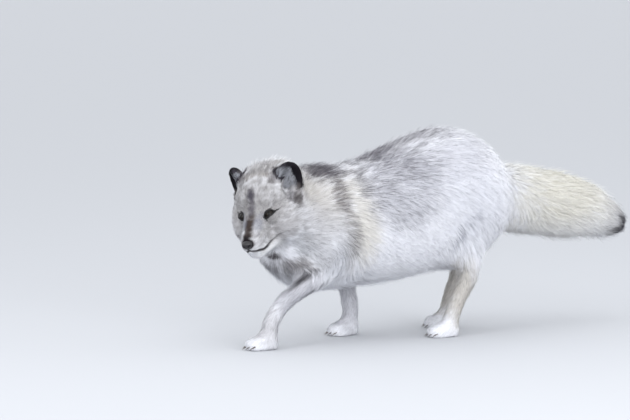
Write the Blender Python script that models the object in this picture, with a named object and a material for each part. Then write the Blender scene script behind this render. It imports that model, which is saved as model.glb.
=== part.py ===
"""Arctic fox in winter coat, walking with its head turned and lowered: the outer form of the coat, in solids.

Row frame: +Z up, the fox heads along -X and its left side faces -Y. The four feet stand at Z = 0, and the
origin is the bottom centre of the whole. Metres.
"""

import math

import bpy
from mathutils import Matrix, Vector

# ---------------------------------------------------------------- driving dimensions
CUT = 0.0003  # gap that parts two neighbours
FUSE_VOXEL = 0.0026  # grid on which the forms are grown together
BODY_SMOOTHING = 26  # passes that blend limbs into the trunk
HEAD_SMOOTHING = 10  # passes that blend the forms of the head and paws
TRIANGLES_FINE = 8800  # the whole fox, as dense as the head is kept
TRIANGLES_MID = 6000  # as dense as the paws are kept
TRIANGLES_COARSE = 2900  # as dense as the trunk, neck, tail and legs are kept

# Outline of trunk and neck from chest to rump: x, top z, bottom z, half width
TRUNK = (
    (-0.262, 0.232, 0.150, 0.026),
    (-0.250, 0.252, 0.124, 0.048),
    (-0.225, 0.268, 0.100, 0.066),
    (-0.190, 0.283, 0.086, 0.079),
    (-0.150, 0.284, 0.082, 0.087),
    (-0.110, 0.285, 0.083, 0.092),
    (-0.060, 0.297, 0.087, 0.096),
    (0.000, 0.320, 0.095, 0.098),
    (0.050, 0.335, 0.102, 0.100),
    (0.090, 0.336, 0.107, 0.100),
    (0.125, 0.326, 0.117, 0.095),
    (0.155, 0.307, 0.136, 0.082),
    (0.176, 0.282, 0.164, 0.056),
    (0.186, 0.250, 0.195, 0.022),
)

# Tail, root to tip: x, y, z of its middle, radius
TAIL = (
    (0.120, 0.000, 0.236, 0.030),
    (0.150, 0.000, 0.228, 0.050),
    (0.185, 0.000, 0.219, 0.057),
    (0.230, 0.001, 0.212, 0.059),
    (0.280, 0.002, 0.204, 0.058),
    (0.325, 0.003, 0.195, 0.054),
    (0.365, 0.004, 0.186, 0.047),
    (0.395, 0.005, 0.177, 0.038),
    (0.417, 0.005, 0.169, 0.026),
    (0.431, 0.005, 0.163, 0.013),
    (0.436, 0.005, 0.160, 0.004),
)

# The head has its own frame: x forward along the jaw, y to its left, z up, origin midway between the eyes
EYES_MIDDLE = Vector((-0.2885, -0.045, 0.2115))
HEAD_TURN = math.radians(38)  # to its left from straight ahead
HEAD_NOD = math.radians(27)
HEAD_TILT = math.radians(8)  # left side up

# Muzzle with the upper lips, and lower jaw: x, top z, bottom z, half width
MUZZLE = (
    (-0.030, 0.036, -0.042, 0.030),
    (-0.015, 0.034, -0.042, 0.0285),
    (0.000, 0.028, -0.042, 0.0232),
    (0.010, 0.0205, -0.041, 0.0202),
    (0.020, 0.0135, -0.040, 0.0192),
    (0.030, 0.0070, -0.039, 0.0188),
    (0.045, -0.0015, -0.038, 0.0170),
    (0.055, -0.0075, -0.036, 0.0138),
    (0.061, -0.0130, -0.032, 0.0085),
)
JAW = (
    (-0.050, -0.020, -0.062, 0.024),
    (-0.030, -0.020, -0.065, 0.032),
    (0.000, -0.020, -0.061, 0.0260),
    (0.025, -0.022, -0.056, 0.0192),
    (0.043, -0.024, -0.052, 0.0142),
    (0.054, -0.028, -0.047, 0.007),
)
# Masses of the head: centre, radii
CRANIUM = ((-0.046, 0.0, 0.0065), (0.050, 0.048, 0.045))
NAPE = ((-0.076, 0.0, 0.004), (0.042, 0.052, 0.045))
FOREHEAD = ((-0.020, 0.0, 0.017), (0.028, 0.035, 0.030))
THROAT = ((-0.056, 0.0, -0.036), (0.044, 0.050, 0.042))
CHEEK = ((-0.035, 0.031, -0.028), (0.042, 0.034, 0.041))
TEMPLE = ((-0.048, 0.031, -0.001), (0.036, 0.028, 0.034))

EYE_RADIUS = 0.0086
EYE_CENTRE = (0.0014, 0.0213, -0.0005)
NOSE_CENTRE = (0.0600, 0.0, -0.0170)
NOSE_RADII = (0.0068, 0.0088, 0.0066)

EAR_CENTRE = (-0.0535, 0.0440, 0.0270)
EAR_RADII = (0.0130, 0.0225, 0.0305)
EAR_LEAN_OUT = math.radians(10)
EAR_LEAN_BACK = math.radians(14)
EAR_FACING = math.radians(42)  # how far the opening turns outwards
EAR_BOWL_SHIFT = 0.0090
EAR_BOWL_SHARE = 0.80

# Limbs from shoulder or hip to the ankle: x, y, z, half width, half depth in front, half depth behind
FORELEG_LEFT = (
    (-0.128, -0.046, 0.200, 0.030, 0.046, 0.046),
    (-0.142, -0.052, 0.162, 0.030, 0.042, 0.042),
    (-0.170, -0.054, 0.127, 0.024, 0.028, 0.030),
    (-0.210, -0.052, 0.098, 0.0170, 0.0175, 0.0190),
    (-0.246, -0.050, 0.072, 0.0150, 0.0150, 0.0155),
    (-0.265, -0.048, 0.046, 0.0150, 0.0145, 0.0150),
    (-0.271, -0.048, 0.020, 0.0150, 0.0145, 0.0150),
)
FORELEG_RIGHT = (
    (-0.118, 0.046, 0.200, 0.030, 0.046, 0.046),
    (-0.104, 0.052, 0.160, 0.030, 0.040, 0.040),
    (-0.086, 0.053, 0.120, 0.023, 0.027, 0.027),
    (-0.073, 0.049, 0.085, 0.0165, 0.0175, 0.0185),
    (-0.067, 0.046, 0.052, 0.0145, 0.0145, 0.015),
    (-0.067, 0.046, 0.032, 0.0150, 0.0145, 0.015),
    (-0.069, 0.046, 0.018, 0.0150, 0.0145, 0.015),
)
HINDLEG_LEFT = (
    (0.105, -0.045, 0.230, 0.040, 0.060, 0.056),
    (0.086, -0.052, 0.182, 0.038, 0.054, 0.056),
    (0.082, -0.056, 0.148, 0.028, 0.036, 0.042),
    (0.099, -0.056, 0.120, 0.019, 0.022, 0.022),
    (0.093, -0.054, 0.090, 0.0155, 0.0155, 0.0175),
    (0.074, -0.053, 0.056, 0.0145, 0.0145, 0.015),
    (0.061, -0.052, 0.020, 0.0150, 0.0150, 0.015),
)
HINDLEG_RIGHT = (
    (0.110, 0.045, 0.230, 0.040, 0.060, 0.056),
    (0.102, 0.052, 0.182, 0.038, 0.054, 0.056),
    (0.112, 0.056, 0.146, 0.028, 0.036, 0.040),
    (0.144, 0.056, 0.120, 0.019, 0.022, 0.022),
    (0.146, 0.054, 0.092, 0.0155, 0.0155, 0.0175),
    (0.132, 0.053, 0.056, 0.0145, 0.0145, 0.015),
    (0.121, 0.052, 0.020, 0.0150, 0.0150, 0.015),
)

# Paws: where the sole's middle stands, and how far each is turned out
PAW_LENGTH = 0.058
PAW_WIDTH = 0.038
PAW_HEIGHT = 0.027
PAWS = {
    "forepaw_left": ((-0.284, -0.048), math.radians(4)),
    "forepaw_right": ((-0.081, 0.046), math.radians(-4)),
    "hindpaw_left": ((0.048, -0.053), math.radians(5)),
    "hindpaw_right": ((0.108, 0.053), math.radians(-5)),
}
PAW_SINK = 0.0012  # how far the fused soles reach below the floor before they are cut flat

# Regions that part the whole: frame, centre, radii, squareness
REGIONS = (
    ("head", "head", (-0.006, 0.0, 0.004), (0.088, 0.090, 0.080), 2.4),
    ("tail", "world", (0.345, 0.0, 0.190), (0.178, 0.085, 0.110), 6.0),
    ("neck", "world", (-0.208, 0.0, 0.262), (0.076, 0.130, 0.125), 2.6),
    ("foreleg_left", "world", (-0.212, -0.083, 0.070), (0.124, 0.062, 0.100), 2.8),
    ("foreleg_right", "world", (-0.096, 0.083, 0.066), (0.068, 0.062, 0.098), 2.8),
    ("hindleg_left", "world", (0.080, -0.086, 0.082), (0.086, 0.068, 0.128), 2.8),
    ("hindleg_right", "world", (0.118, 0.086, 0.082), (0.084, 0.068, 0.128), 2.8),
)
PAW_REGION = (0.046, 0.036, 0.031)


# ---------------------------------------------------------------- frames and small tools
def head_matrix():
    """Places the head's own frame in the world."""
    turn = Matrix.Rotation(math.pi + HEAD_TURN, 4, "Z")
    nod = Matrix.Rotation(HEAD_NOD, 4, "Y")
    tilt = Matrix.Rotation(HEAD_TILT, 4, "X")
    return Matrix.Translation(EYES_MIDDLE) @ turn @ nod @ tilt


HEAD = head_matrix()
WORLD = Matrix.Identity(4)
FRAMES = {"head": HEAD, "world": WORLD}


def mirrored(point, side):
    return (point[0], side * point[1], point[2])


def material(name, colour, roughness):
    made = bpy.data.materials.new(name)
    made.use_nodes = True
    shader = made.node_tree.nodes["Principled BSDF"]
    shader.inputs["Base Color"].default_value = (*colour, 1.0)
    shader.inputs["Roughness"].default_value = roughness
    made.diffuse_color = (*colour, 1.0)
    return made


def object_from(name, points, faces):
    mesh = bpy.data.meshes.new(name)
    mesh.from_pydata(points, [], faces)
    mesh.update()
    made = bpy.data.objects.new(name, mesh)
    bpy.context.scene.collection.objects.link(made)
    return made


def apply_modifier(piece, kind, **settings):
    """Adds a modifier to the piece, sets it and applies it."""
    modifier = piece.modifiers.new(kind.title(), kind)
    for key, value in settings.items():
        setattr(modifier, key, value)
    bpy.ops.object.select_all(action="DESELECT")
    bpy.context.view_layer.objects.active = piece
    piece.select_set(True)
    bpy.ops.object.modifier_apply(modifier=modifier.name)
    return piece


def copy_of(piece, name):
    made = bpy.data.objects.new(name, piece.data.copy())
    bpy.context.scene.collection.objects.link(made)
    return made


def remove(*pieces):
    for piece in pieces:
        bpy.data.objects.remove(piece)


def boolean(piece, cutter, operation):
    return apply_modifier(piece, "BOOLEAN", operation=operation, object=cutter, solver="EXACT")


# ---------------------------------------------------------------- forms
def between(stations, count):
    """The stations' values read along a smooth curve through them."""
    last = len(stations) - 1
    for step in range(count):
        place = last * step / (count - 1)
        i = min(int(place), last - 1)
        t = place - i
        p0 = stations[max(i - 1, 0)]
        p1, p2 = stations[i], stations[i + 1]
        p3 = stations[min(i + 2, last)]
        yield tuple(
            0.5 * (2 * b + (c - a) * t + (2 * a - 5 * b + 4 * c - d) * t**2 + (3 * b - a - 3 * c + d) * t**3)
            for a, b, c, d in zip(p0, p1, p2, p3)
        )


def loft(name, rings, sides=36):
    """A closed form over rings of (middle, across, along, half width, half height above, below)."""
    points = []
    for middle, across, upward, half, above, below in rings:
        for k in range(sides):
            angle = 2 * math.pi * k / sides
            lift = above if math.sin(angle) > 0 else below
            points.append(middle + across * half * math.cos(angle) + upward * lift * math.sin(angle))
    faces = []
    for r in range(len(rings) - 1):
        for k in range(sides):
            a, b = r * sides + k, r * sides + (k + 1) % sides
            faces.append((a, b, b + sides, a + sides))
    last = (len(rings) - 1) * sides
    faces.append(tuple(reversed(range(sides))))
    faces.append(tuple(range(last, last + sides)))
    made = object_from(name, points, faces)
    apply_modifier(made, "TRIANGULATE")
    return made


def upright_loft(name, outline, frame, rings):
    """A form whose rings stand square to x: outline of x, top, bottom, half width."""
    made = []
    for x, top, bottom, half in between(outline, rings):
        middle = Vector((x, 0.0, (top + bottom) / 2))
        height = (top - bottom) / 2
        made.append((middle, Vector((0, 1, 0)), Vector((0, 0, 1)), half, height, height))
    form = loft(name, made)
    form.data.transform(frame)
    return form


def path_loft(name, stations, ahead, rings):
    """A limb or tail: rings square to the path. The first half depth lies on the side that ahead points to."""
    read = list(between(stations, rings))
    made = []
    for i, station in enumerate(read):
        before, after = read[max(i - 1, 0)], read[min(i + 1, rings - 1)]
        along = (Vector(after[:3]) - Vector(before[:3])).normalized()
        forward = (ahead - along * ahead.dot(along)).normalized()
        across = forward.cross(along)
        sizes = station[3:] if len(station) > 4 else station[3:] * 3
        made.append((Vector(station[:3]), across, forward, *sizes))
    return loft(name, made)


def ellipsoid(name, centre, radii, frame=WORLD, squareness=2.0, grown=0.0, rows=20):
    """An ellipsoid, or with more squareness a box with rounded corners, grown by a gap."""
    bpy.ops.mesh.primitive_uv_sphere_add(segments=2 * rows, ring_count=rows, radius=1.0)
    made = bpy.context.active_object
    made.name = name
    sizes = Vector(radii) + Vector((grown,) * 3)
    for vertex in made.data.vertices:
        co = vertex.co
        size = sum(abs(c) ** squareness for c in co) ** (1 / squareness)
        vertex.co = Vector(c / size * r for c, r in zip(co, sizes))
    apply_modifier(made, "TRIANGULATE", quad_method="FIXED")
    made.data.transform(frame @ Matrix.Translation(centre))
    return made


def fuse(name, pieces, smoothing):
    """Grows the pieces together into one closed surface and softens the creases between them."""
    bpy.ops.object.select_all(action="DESELECT")
    for piece in pieces:
        piece.select_set(True)
    bpy.context.view_layer.objects.active = pieces[0]
    bpy.ops.object.join()
    made = bpy.context.active_object
    made.name = name
    apply_modifier(made, "REMESH", mode="VOXEL", voxel_size=FUSE_VOXEL, use_smooth_shade=True)
    if smoothing:
        apply_modifier(made, "SMOOTH", factor=0.5, iterations=smoothing)
    return made


# ---------------------------------------------------------------- the fox's forms
def body_form():
    forward = Vector((-1, 0, 0))
    pieces = [
        upright_loft("trunk_form", TRUNK, WORLD, 60),
        path_loft("tail_form", TAIL, Vector((0, 0, 1)), 44),
    ]
    for name, stations in (
        ("foreleg_left", FORELEG_LEFT),
        ("foreleg_right", FORELEG_RIGHT),
        ("hindleg_left", HINDLEG_LEFT),
        ("hindleg_right", HINDLEG_RIGHT),
    ):
        pieces.append(path_loft(name + "_form", stations, forward, 40))
    pieces.append(ellipsoid("nape_form", *NAPE, frame=HEAD))
    return fuse("body", pieces, BODY_SMOOTHING)


def paw_form(name):
    """A broad winter paw: a long pad with four toes in front, furred all round."""
    (x, y), turn = PAWS[name]
    frame = Matrix.Translation((x, y, 0.0)) @ Matrix.Rotation(math.pi - turn, 4, "Z")
    length, width, height = PAW_LENGTH, PAW_WIDTH, PAW_HEIGHT
    middle = (-0.10 * length, 0.0, 0.45 * height)
    pieces = [
        ellipsoid(name + "_pad", middle, (0.42 * length, 0.46 * width, 0.52 * height), frame, 2.6, 0.0, 14)
    ]
    for place, reach in ((-0.33, 0.16), (-0.115, 0.24), (0.115, 0.24), (0.33, 0.16)):
        centre = (reach * length, place * width, 0.36 * height)
        radii = (0.25 * length, 0.155 * width, 0.42 * height)
        pieces.append(ellipsoid(name + "_toe", centre, radii, frame, 2.2, 0.0, 10))
    return pieces


def head_form():
    pieces = [
        upright_loft("muzzle_form", MUZZLE, HEAD, 36),
        upright_loft("jaw_form", JAW, HEAD, 30),
        ellipsoid("cranium_form", *CRANIUM, frame=HEAD),
        ellipsoid("forehead_form", *FOREHEAD, frame=HEAD),
        ellipsoid("throat_form", *THROAT, frame=HEAD),
    ]
    for side in (1, -1):
        pieces.append(ellipsoid("cheek_form", mirrored(CHEEK[0], side), CHEEK[1], frame=HEAD))
        pieces.append(ellipsoid("temple_form", mirrored(TEMPLE[0], side), TEMPLE[1], frame=HEAD))
    return pieces


def whole_form():
    """The whole coat as one surface, with flat soles at the floor."""
    details = head_form()
    for name in PAWS:
        details += paw_form(name)
    whole = fuse("whole", [body_form(), *details], HEAD_SMOOTHING)
    whole.data.transform(Matrix.Translation((0, 0, -PAW_SINK)))
    bpy.ops.mesh.primitive_cube_add(size=1.0, location=(0.0, 0.0, -0.5), scale=(2.0, 2.0, 1.0))
    floor = bpy.context.active_object
    boolean(whole, floor, "DIFFERENCE")
    remove(floor)
    return whole


def thinned(whole, name, triangles):
    made = copy_of(whole, name)
    apply_modifier(made, "TRIANGULATE")
    apply_modifier(made, "DECIMATE", ratio=triangles / len(made.data.polygons))
    return made


# ---------------------------------------------------------------- parting into nodes
def region(row, grown=0.0):
    name, frame, centre, radii, squareness = row
    return ellipsoid(name + "_region", centre, radii, FRAMES[frame], squareness, grown, 8)


def paw_region(name, grown=0.0):
    (x, y), turn = PAWS[name]
    frame = Matrix.Translation((x, y, 0.0)) @ Matrix.Rotation(math.pi - turn, 4, "Z")
    return ellipsoid(name + "_region", (0, 0, 0), PAW_REGION, frame, 5.0, grown, 7)


def part(source, name, inside, outside=()):
    """The share of the source that lies in the region inside and in none of the regions outside."""
    made = copy_of(source, name)
    if inside:
        boolean(made, inside, "INTERSECT")
        remove(inside)
    for cutter in outside:
        boolean(made, cutter, "DIFFERENCE")
        remove(cutter)
    return made


def ear(name, side, head):
    """A short round ear: a thick furred cup whose opening faces forwards and out, cut clear of the head."""
    lean = Matrix.Rotation(-side * EAR_LEAN_OUT, 4, "X") @ Matrix.Rotation(-EAR_LEAN_BACK, 4, "Y")
    turn = Matrix.Rotation(side * EAR_FACING, 4, "Z")
    frame = HEAD @ Matrix.Translation(mirrored(EAR_CENTRE, side)) @ lean @ turn
    made = ellipsoid(name, (0, 0, 0), EAR_RADII, frame, 2.2, 0.0, 8)
    bowl_radii = [r * EAR_BOWL_SHARE for r in EAR_RADII]
    bowl = ellipsoid("bowl", (EAR_BOWL_SHIFT, 0, 0), bowl_radii, frame, 2.2, 0.0, 8)
    boolean(made, bowl, "DIFFERENCE")
    clear = copy_of(head, "clear")
    apply_modifier(clear, "DISPLACE", strength=CUT, mid_level=0.0)
    boolean(made, clear, "DIFFERENCE")
    remove(bowl, clear)
    return made


def build():
    for old in list(bpy.data.objects):
        bpy.data.objects.remove(old)
    whole = whole_form()
    fine = thinned(whole, "fine", TRIANGLES_FINE)
    mid = thinned(whole, "mid", TRIANGLES_MID)
    coarse = thinned(whole, "coarse", TRIANGLES_COARSE)
    nodes = {}

    def carve(name, source, inside, outside=()):
        nodes[name] = part(source, name, inside, outside)

    # Head: the front of the whole, with sockets for the eyes and a seat for the nose pad
    sockets = [
        ellipsoid("socket", mirrored(EYE_CENTRE, side), (EYE_RADIUS,) * 3, HEAD, 2.0, CUT, 8)
        for side in (1, -1)
    ]
    sockets.append(ellipsoid("nose_seat", NOSE_CENTRE, NOSE_RADII, HEAD, 2.3, CUT, 8))
    carve("head", fine, region(REGIONS[0]), sockets)

    # Neck, tail and legs: each its own region of the whole, less the regions before it
    taken = [REGIONS[0]]
    for row in REGIONS[1:]:
        name = row[0]
        paw = name.replace("leg", "paw")
        outside = [region(other, CUT) for other in taken]
        if paw in PAWS:
            outside.append(paw_region(paw, CUT))
            carve(paw, mid, paw_region(paw))
        carve(name, coarse, region(row), outside)
        taken.append(row)
    carve("trunk", coarse, None, [region(row, CUT) for row in taken] + [paw_region(n, CUT) for n in PAWS])

    nodes["nose"] = ellipsoid("nose", NOSE_CENTRE, NOSE_RADII, HEAD, 2.3, 0.0, 8)
    for word, side in (("left", 1), ("right", -1)):
        centre = mirrored(EYE_CENTRE, side)
        nodes["eye_" + word] = ellipsoid("eye_" + word, centre, (EYE_RADIUS,) * 3, HEAD, 2.0, 0.0, 8)
        nodes["ear_" + word] = ear("ear_" + word, side, fine)
    remove(whole, fine, mid, coarse)
    return nodes


def finish(nodes):
    """Puts the origin at the bottom centre of the whole, and gives each node its material."""
    corners = [vertex.co for node in nodes.values() for vertex in node.data.vertices]
    low = Vector(min(co[i] for co in corners) for i in range(3))
    high = Vector(max(co[i] for co in corners) for i in range(3))
    shift = Matrix.Translation((-(low.x + high.x) / 2, -(low.y + high.y) / 2, -low.z))
    fur = material("winter_fur", (0.62, 0.63, 0.68), 0.9)
    ear_fur = material("ear_fur", (0.10, 0.09, 0.10), 0.9)
    paw_fur = material("leg_fur", (0.38, 0.36, 0.36), 0.9)
    eye = material("eye", (0.03, 0.022, 0.015), 0.05)
    skin = material("nose_skin", (0.012, 0.012, 0.015), 0.35)
    for name, node in nodes.items():
        node.data.transform(shift)
        node.data.materials.clear()
        if name.startswith("eye"):
            node.data.materials.append(eye)
        elif name.startswith("ear"):
            node.data.materials.append(ear_fur)
        elif name == "nose":
            node.data.materials.append(skin)
        elif "leg" in name or "paw" in name:
            node.data.materials.append(paw_fur)
        else:
            node.data.materials.append(fur)
        node.data.shade_smooth()


finish(build())
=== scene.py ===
import math
import bpy
import bmesh
import numpy as np
from mathutils import Matrix, Vector
from mathutils.bvhtree import BVHTree
from mathutils.kdtree import KDTree


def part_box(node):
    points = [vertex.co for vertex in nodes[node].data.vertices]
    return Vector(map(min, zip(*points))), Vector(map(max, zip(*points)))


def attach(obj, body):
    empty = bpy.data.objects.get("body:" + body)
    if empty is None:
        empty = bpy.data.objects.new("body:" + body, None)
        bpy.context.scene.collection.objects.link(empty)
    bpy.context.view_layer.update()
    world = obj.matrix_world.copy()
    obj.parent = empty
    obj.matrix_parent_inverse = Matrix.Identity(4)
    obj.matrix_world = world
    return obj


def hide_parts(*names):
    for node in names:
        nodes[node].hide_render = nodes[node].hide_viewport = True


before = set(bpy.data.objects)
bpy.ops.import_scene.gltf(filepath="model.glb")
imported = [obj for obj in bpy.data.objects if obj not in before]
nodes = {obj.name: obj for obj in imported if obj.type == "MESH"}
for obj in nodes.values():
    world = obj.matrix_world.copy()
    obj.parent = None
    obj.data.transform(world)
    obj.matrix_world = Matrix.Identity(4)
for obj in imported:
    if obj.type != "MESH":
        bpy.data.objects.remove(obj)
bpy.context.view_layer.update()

dice = np.random.default_rng(41)


def deselectAll():
    if bpy.context.mode != "OBJECT":
        bpy.ops.object.mode_set(mode="OBJECT")
    bpy.ops.object.select_all(action="DESELECT")


def pick(piece):
    deselectAll()
    piece.select_set(True)
    bpy.context.view_layer.objects.active = piece


def applyModifier(piece, kind, **settings):
    pick(piece)
    modifier = piece.modifiers.new(kind.lower(), kind)
    for key, value in settings.items():
        setattr(modifier, key, value)
    bpy.ops.object.modifier_apply(modifier=modifier.name)


def joined(pieces, name):
    deselectAll()
    for piece in pieces:
        piece.select_set(True)
    bpy.context.view_layer.objects.active = pieces[0]
    bpy.ops.object.join()
    made = bpy.context.active_object
    made.name = made.data.name = name
    return made


def readRows(items, what, width, kind=np.float32):  # one row of a mesh's values for each item
    flat = np.empty(len(items) * width, kind)
    items.foreach_get(what, flat)
    return flat.reshape(-1, width)


def coords(mesh):
    return readRows(mesh.vertices, "co", 3).astype(float)


def normalsOf(mesh):
    return readRows(mesh.vertex_normals, "vector", 3).astype(float)


def setCoords(mesh, points):
    mesh.vertices.foreach_set("co", np.ascontiguousarray(points, np.float32).ravel())
    mesh.update()


def treeOf(mesh, triangulate=False):
    copy = bmesh.new()
    copy.from_mesh(mesh)
    if triangulate:
        bmesh.ops.triangulate(copy, faces=copy.faces)
    tree = BVHTree.FromBMesh(copy)
    copy.free()
    return tree


def unit(v):
    return v / np.maximum(np.linalg.norm(v, axis=-1, keepdims=True), 1e-9)


def lengthOf(rows):
    return np.linalg.norm(rows, axis=1)


def step(low, high, x):
    t = np.clip((x - low) / (high - low), 0, 1)
    return t * t * (3 - 2 * t)


def blend(start, end, share):  # one share for each row
    return start + (end - start) * share[:, None]


def mm(*values):
    return np.array(values) * 0.001


def hexColour(text):
    channels = [int(text[i:i + 2], 16) / 255 for i in (1, 3, 5)]
    return np.array([c / 12.92 if c <= 0.04045 else ((c + 0.055) / 1.055) ** 2.4 for c in channels])


def waves(points, size, seed):  # soft even noise, mostly from -1 to 1, with lumps of about this size
    made = np.random.default_rng(seed)
    total = np.zeros(len(points))
    for k in range(10):
        way = unit(made.normal(size=3))
        length = size * made.uniform(0.8, 1.9)
        total += np.sin(points @ way * (2 * math.pi / length) + made.uniform(0, 6.28))
    return total / 3.2


# the head's frame has x forward along the jaw, y to its left, z up, from midway between the eyes
# the body's drawing places stand at a fixed distance behind and beside it
poseSettings = dict(turn=38, nod=27, tilt=8, eyeForward=0.0014, eyeDown=0.0005, bodyBehind=0.2885,
                    bodyBeside=0.045)
eyeMiddle = [sum(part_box("eye_" + side), Vector()) / 2 for side in ("left", "right")]
headTurn = (
    Matrix.Rotation(math.pi + math.radians(poseSettings["turn"]), 3, "Z")
    @ Matrix.Rotation(math.radians(poseSettings["nod"]), 3, "Y")
    @ Matrix.Rotation(math.radians(poseSettings["tilt"]), 3, "X")
)
fromEyes = headTurn @ Vector((poseSettings["eyeForward"], 0, -poseSettings["eyeDown"]))
headOrigin = (eyeMiddle[0] + eyeMiddle[1]) / 2 - fromEyes
headTurnArray = np.array(headTurn)
headOriginArray = np.array(headOrigin)
bodyShift = np.array(headOrigin) * (1, 1, 0) + (poseSettings["bodyBehind"], poseSettings["bodyBeside"], 0)


def toHead(points):
    return (np.asarray(points) - headOriginArray) @ headTurnArray


def fromHead(points):
    return np.asarray(points) @ headTurnArray.T + headOriginArray


def toBody(points):
    return np.asarray(points) - bodyShift


# how the coat lies: place (mm), flow, then tuft length, depth over the skin and width in mm
# body places are in the body's drawing frame with the left side at -y, and each is mirrored to the other side
bodyCoat = {
    "withers": ((-125, 0, 285), (1, 0, 0.03), 34, 10.5, 1.5),
    "midBack": ((-30, 0, 310), (1, 0, 0.22), 30, 11, 1.4),
    "arch": ((75, 0, 335), (1, 0, -0.12), 31, 11.5, 1.4),
    "rumpTop": ((155, 0, 303), (0.85, 0, -0.5), 30, 11, 1.4),
    "underTail": ((178, -25, 185), (0.35, 0, -0.93), 30, 10, 1.5),
    "shoulder": ((-125, -88, 200), (0.86, 0, -0.48), 34, 11, 1.5),
    "flankHigh": ((-20, -85, 265), (0.85, 0, -0.4), 29, 12, 1.4),
    "flank": ((-20, -97, 195), (0.82, 0, -0.5), 32, 12.5, 1.4),
    "flankLow": ((-20, -78, 125), (0.9, 0.1, -0.42), 40, 12.5, 1.6),
    "haunch": ((80, -98, 225), (0.86, 0, -0.5), 38, 12, 1.5),
    "haunchLow": ((85, -82, 165), (0.65, 0, -0.75), 32, 10, 1.5),
    "rumpSide": ((150, -72, 225), (0.8, 0.1, -0.6), 31, 11, 1.4),
    "belly": ((-70, -20, 87), (0.98, 0, -0.1), 38, 11.5, 1.6),
    "bellyRear": ((45, -20, 103), (0.98, 0, 0.1), 36, 11, 1.6),
    "chestFront": ((-262, -5, 190), (0.3, 0, -0.95), 36, 11, 1.5),
    "chestLow": ((-225, -10, 102), (0.8, 0, -0.6), 36, 11, 1.5),
    "chestSide": ((-215, -65, 150), (0.75, -0.05, -0.65), 36, 11, 1.5),
    "neckSide": ((-190, -78, 225), (0.85, 0, -0.5), 38, 12, 1.6),
    "neckHigh": ((-180, -50, 268), (0.93, -0.1, -0.3), 36, 12, 1.6),
    "neckTop": ((-185, 0, 284), (1, 0, 0), 34, 11.5, 1.5),
    "tailRoot": ((200, 0, 272), (0.98, 0, -0.15), 40, 15, 1.6),
    "tailTop": ((300, 0, 255), (0.97, 0, -0.22), 44, 17, 1.6),
    "tailSide": ((270, -58, 205), (0.97, 0, -0.2), 44, 17, 1.6),
    "tailLow": ((270, 0, 146), (0.9, 0, -0.42), 44, 17, 1.6),
    "tailLowRear": ((365, 0, 138), (0.86, 0, -0.5), 46, 18, 1.5),
    "tailRootLow": ((205, 0, 156), (0.9, 0, -0.4), 38, 14, 1.6),
    "tailEnd": ((390, 0, 178), (0.94, 0, -0.34), 46, 14, 1.5),
    "tailTip": ((430, 0, 160), (0.93, 0, -0.36), 34, 7, 1.3),
}
# legs are not mirrored: the left foreleg reaches forward and the left hind leg stands under the belly
legCoat = {
    "leftElbow": ((-172, -80, 130), (-0.25, 0, -0.95), 26, 7, 1.3),
    "leftForearm": ((-212, -55, 98), (-0.8, 0, -0.6), 15, 4.2, 1.1),
    "leftWrist": ((-252, -50, 68), (-0.75, 0, -0.66), 11, 3.2, 1.0),
    "leftForefoot": ((-268, -48, 38), (-0.35, 0, -0.94), 9, 2.8, 0.9),
    "rightElbow": ((-88, 78, 125), (0.4, 0, -0.92), 26, 7, 1.3),
    "rightForearm": ((-72, 50, 84), (0.15, 0, -0.98), 15, 4.2, 1.1),
    "rightForefoot": ((-67, 46, 42), (-0.1, 0, -0.99), 9, 2.8, 0.9),
    "leftKnee": ((82, -80, 150), (0.35, 0, -0.93), 26, 8, 1.3),
    "leftHock": ((98, -56, 118), (0.2, 0, -0.98), 15, 4.5, 1.1),
    "leftShank": ((86, -54, 76), (-0.45, 0, -0.9), 11, 3.2, 1.0),
    "leftHindfoot": ((66, -52, 38), (-0.5, 0, -0.86), 9, 2.8, 0.9),
    "rightKnee": ((108, 80, 150), (0.4, 0, -0.91), 26, 8, 1.3),
    "rightHock": ((144, 56, 118), (0.3, 0, -0.95), 15, 4.5, 1.1),
    "rightShank": ((140, 54, 76), (-0.35, 0, -0.93), 11, 3.2, 1.0),
    "rightHindfoot": ((126, 52, 38), (-0.45, 0, -0.89), 9, 2.8, 0.9),
}
pawCoat = {"leftFore": (-284, -48), "rightFore": (-81, 46), "leftHind": (48, -53), "rightHind": (108, 53)}
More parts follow.
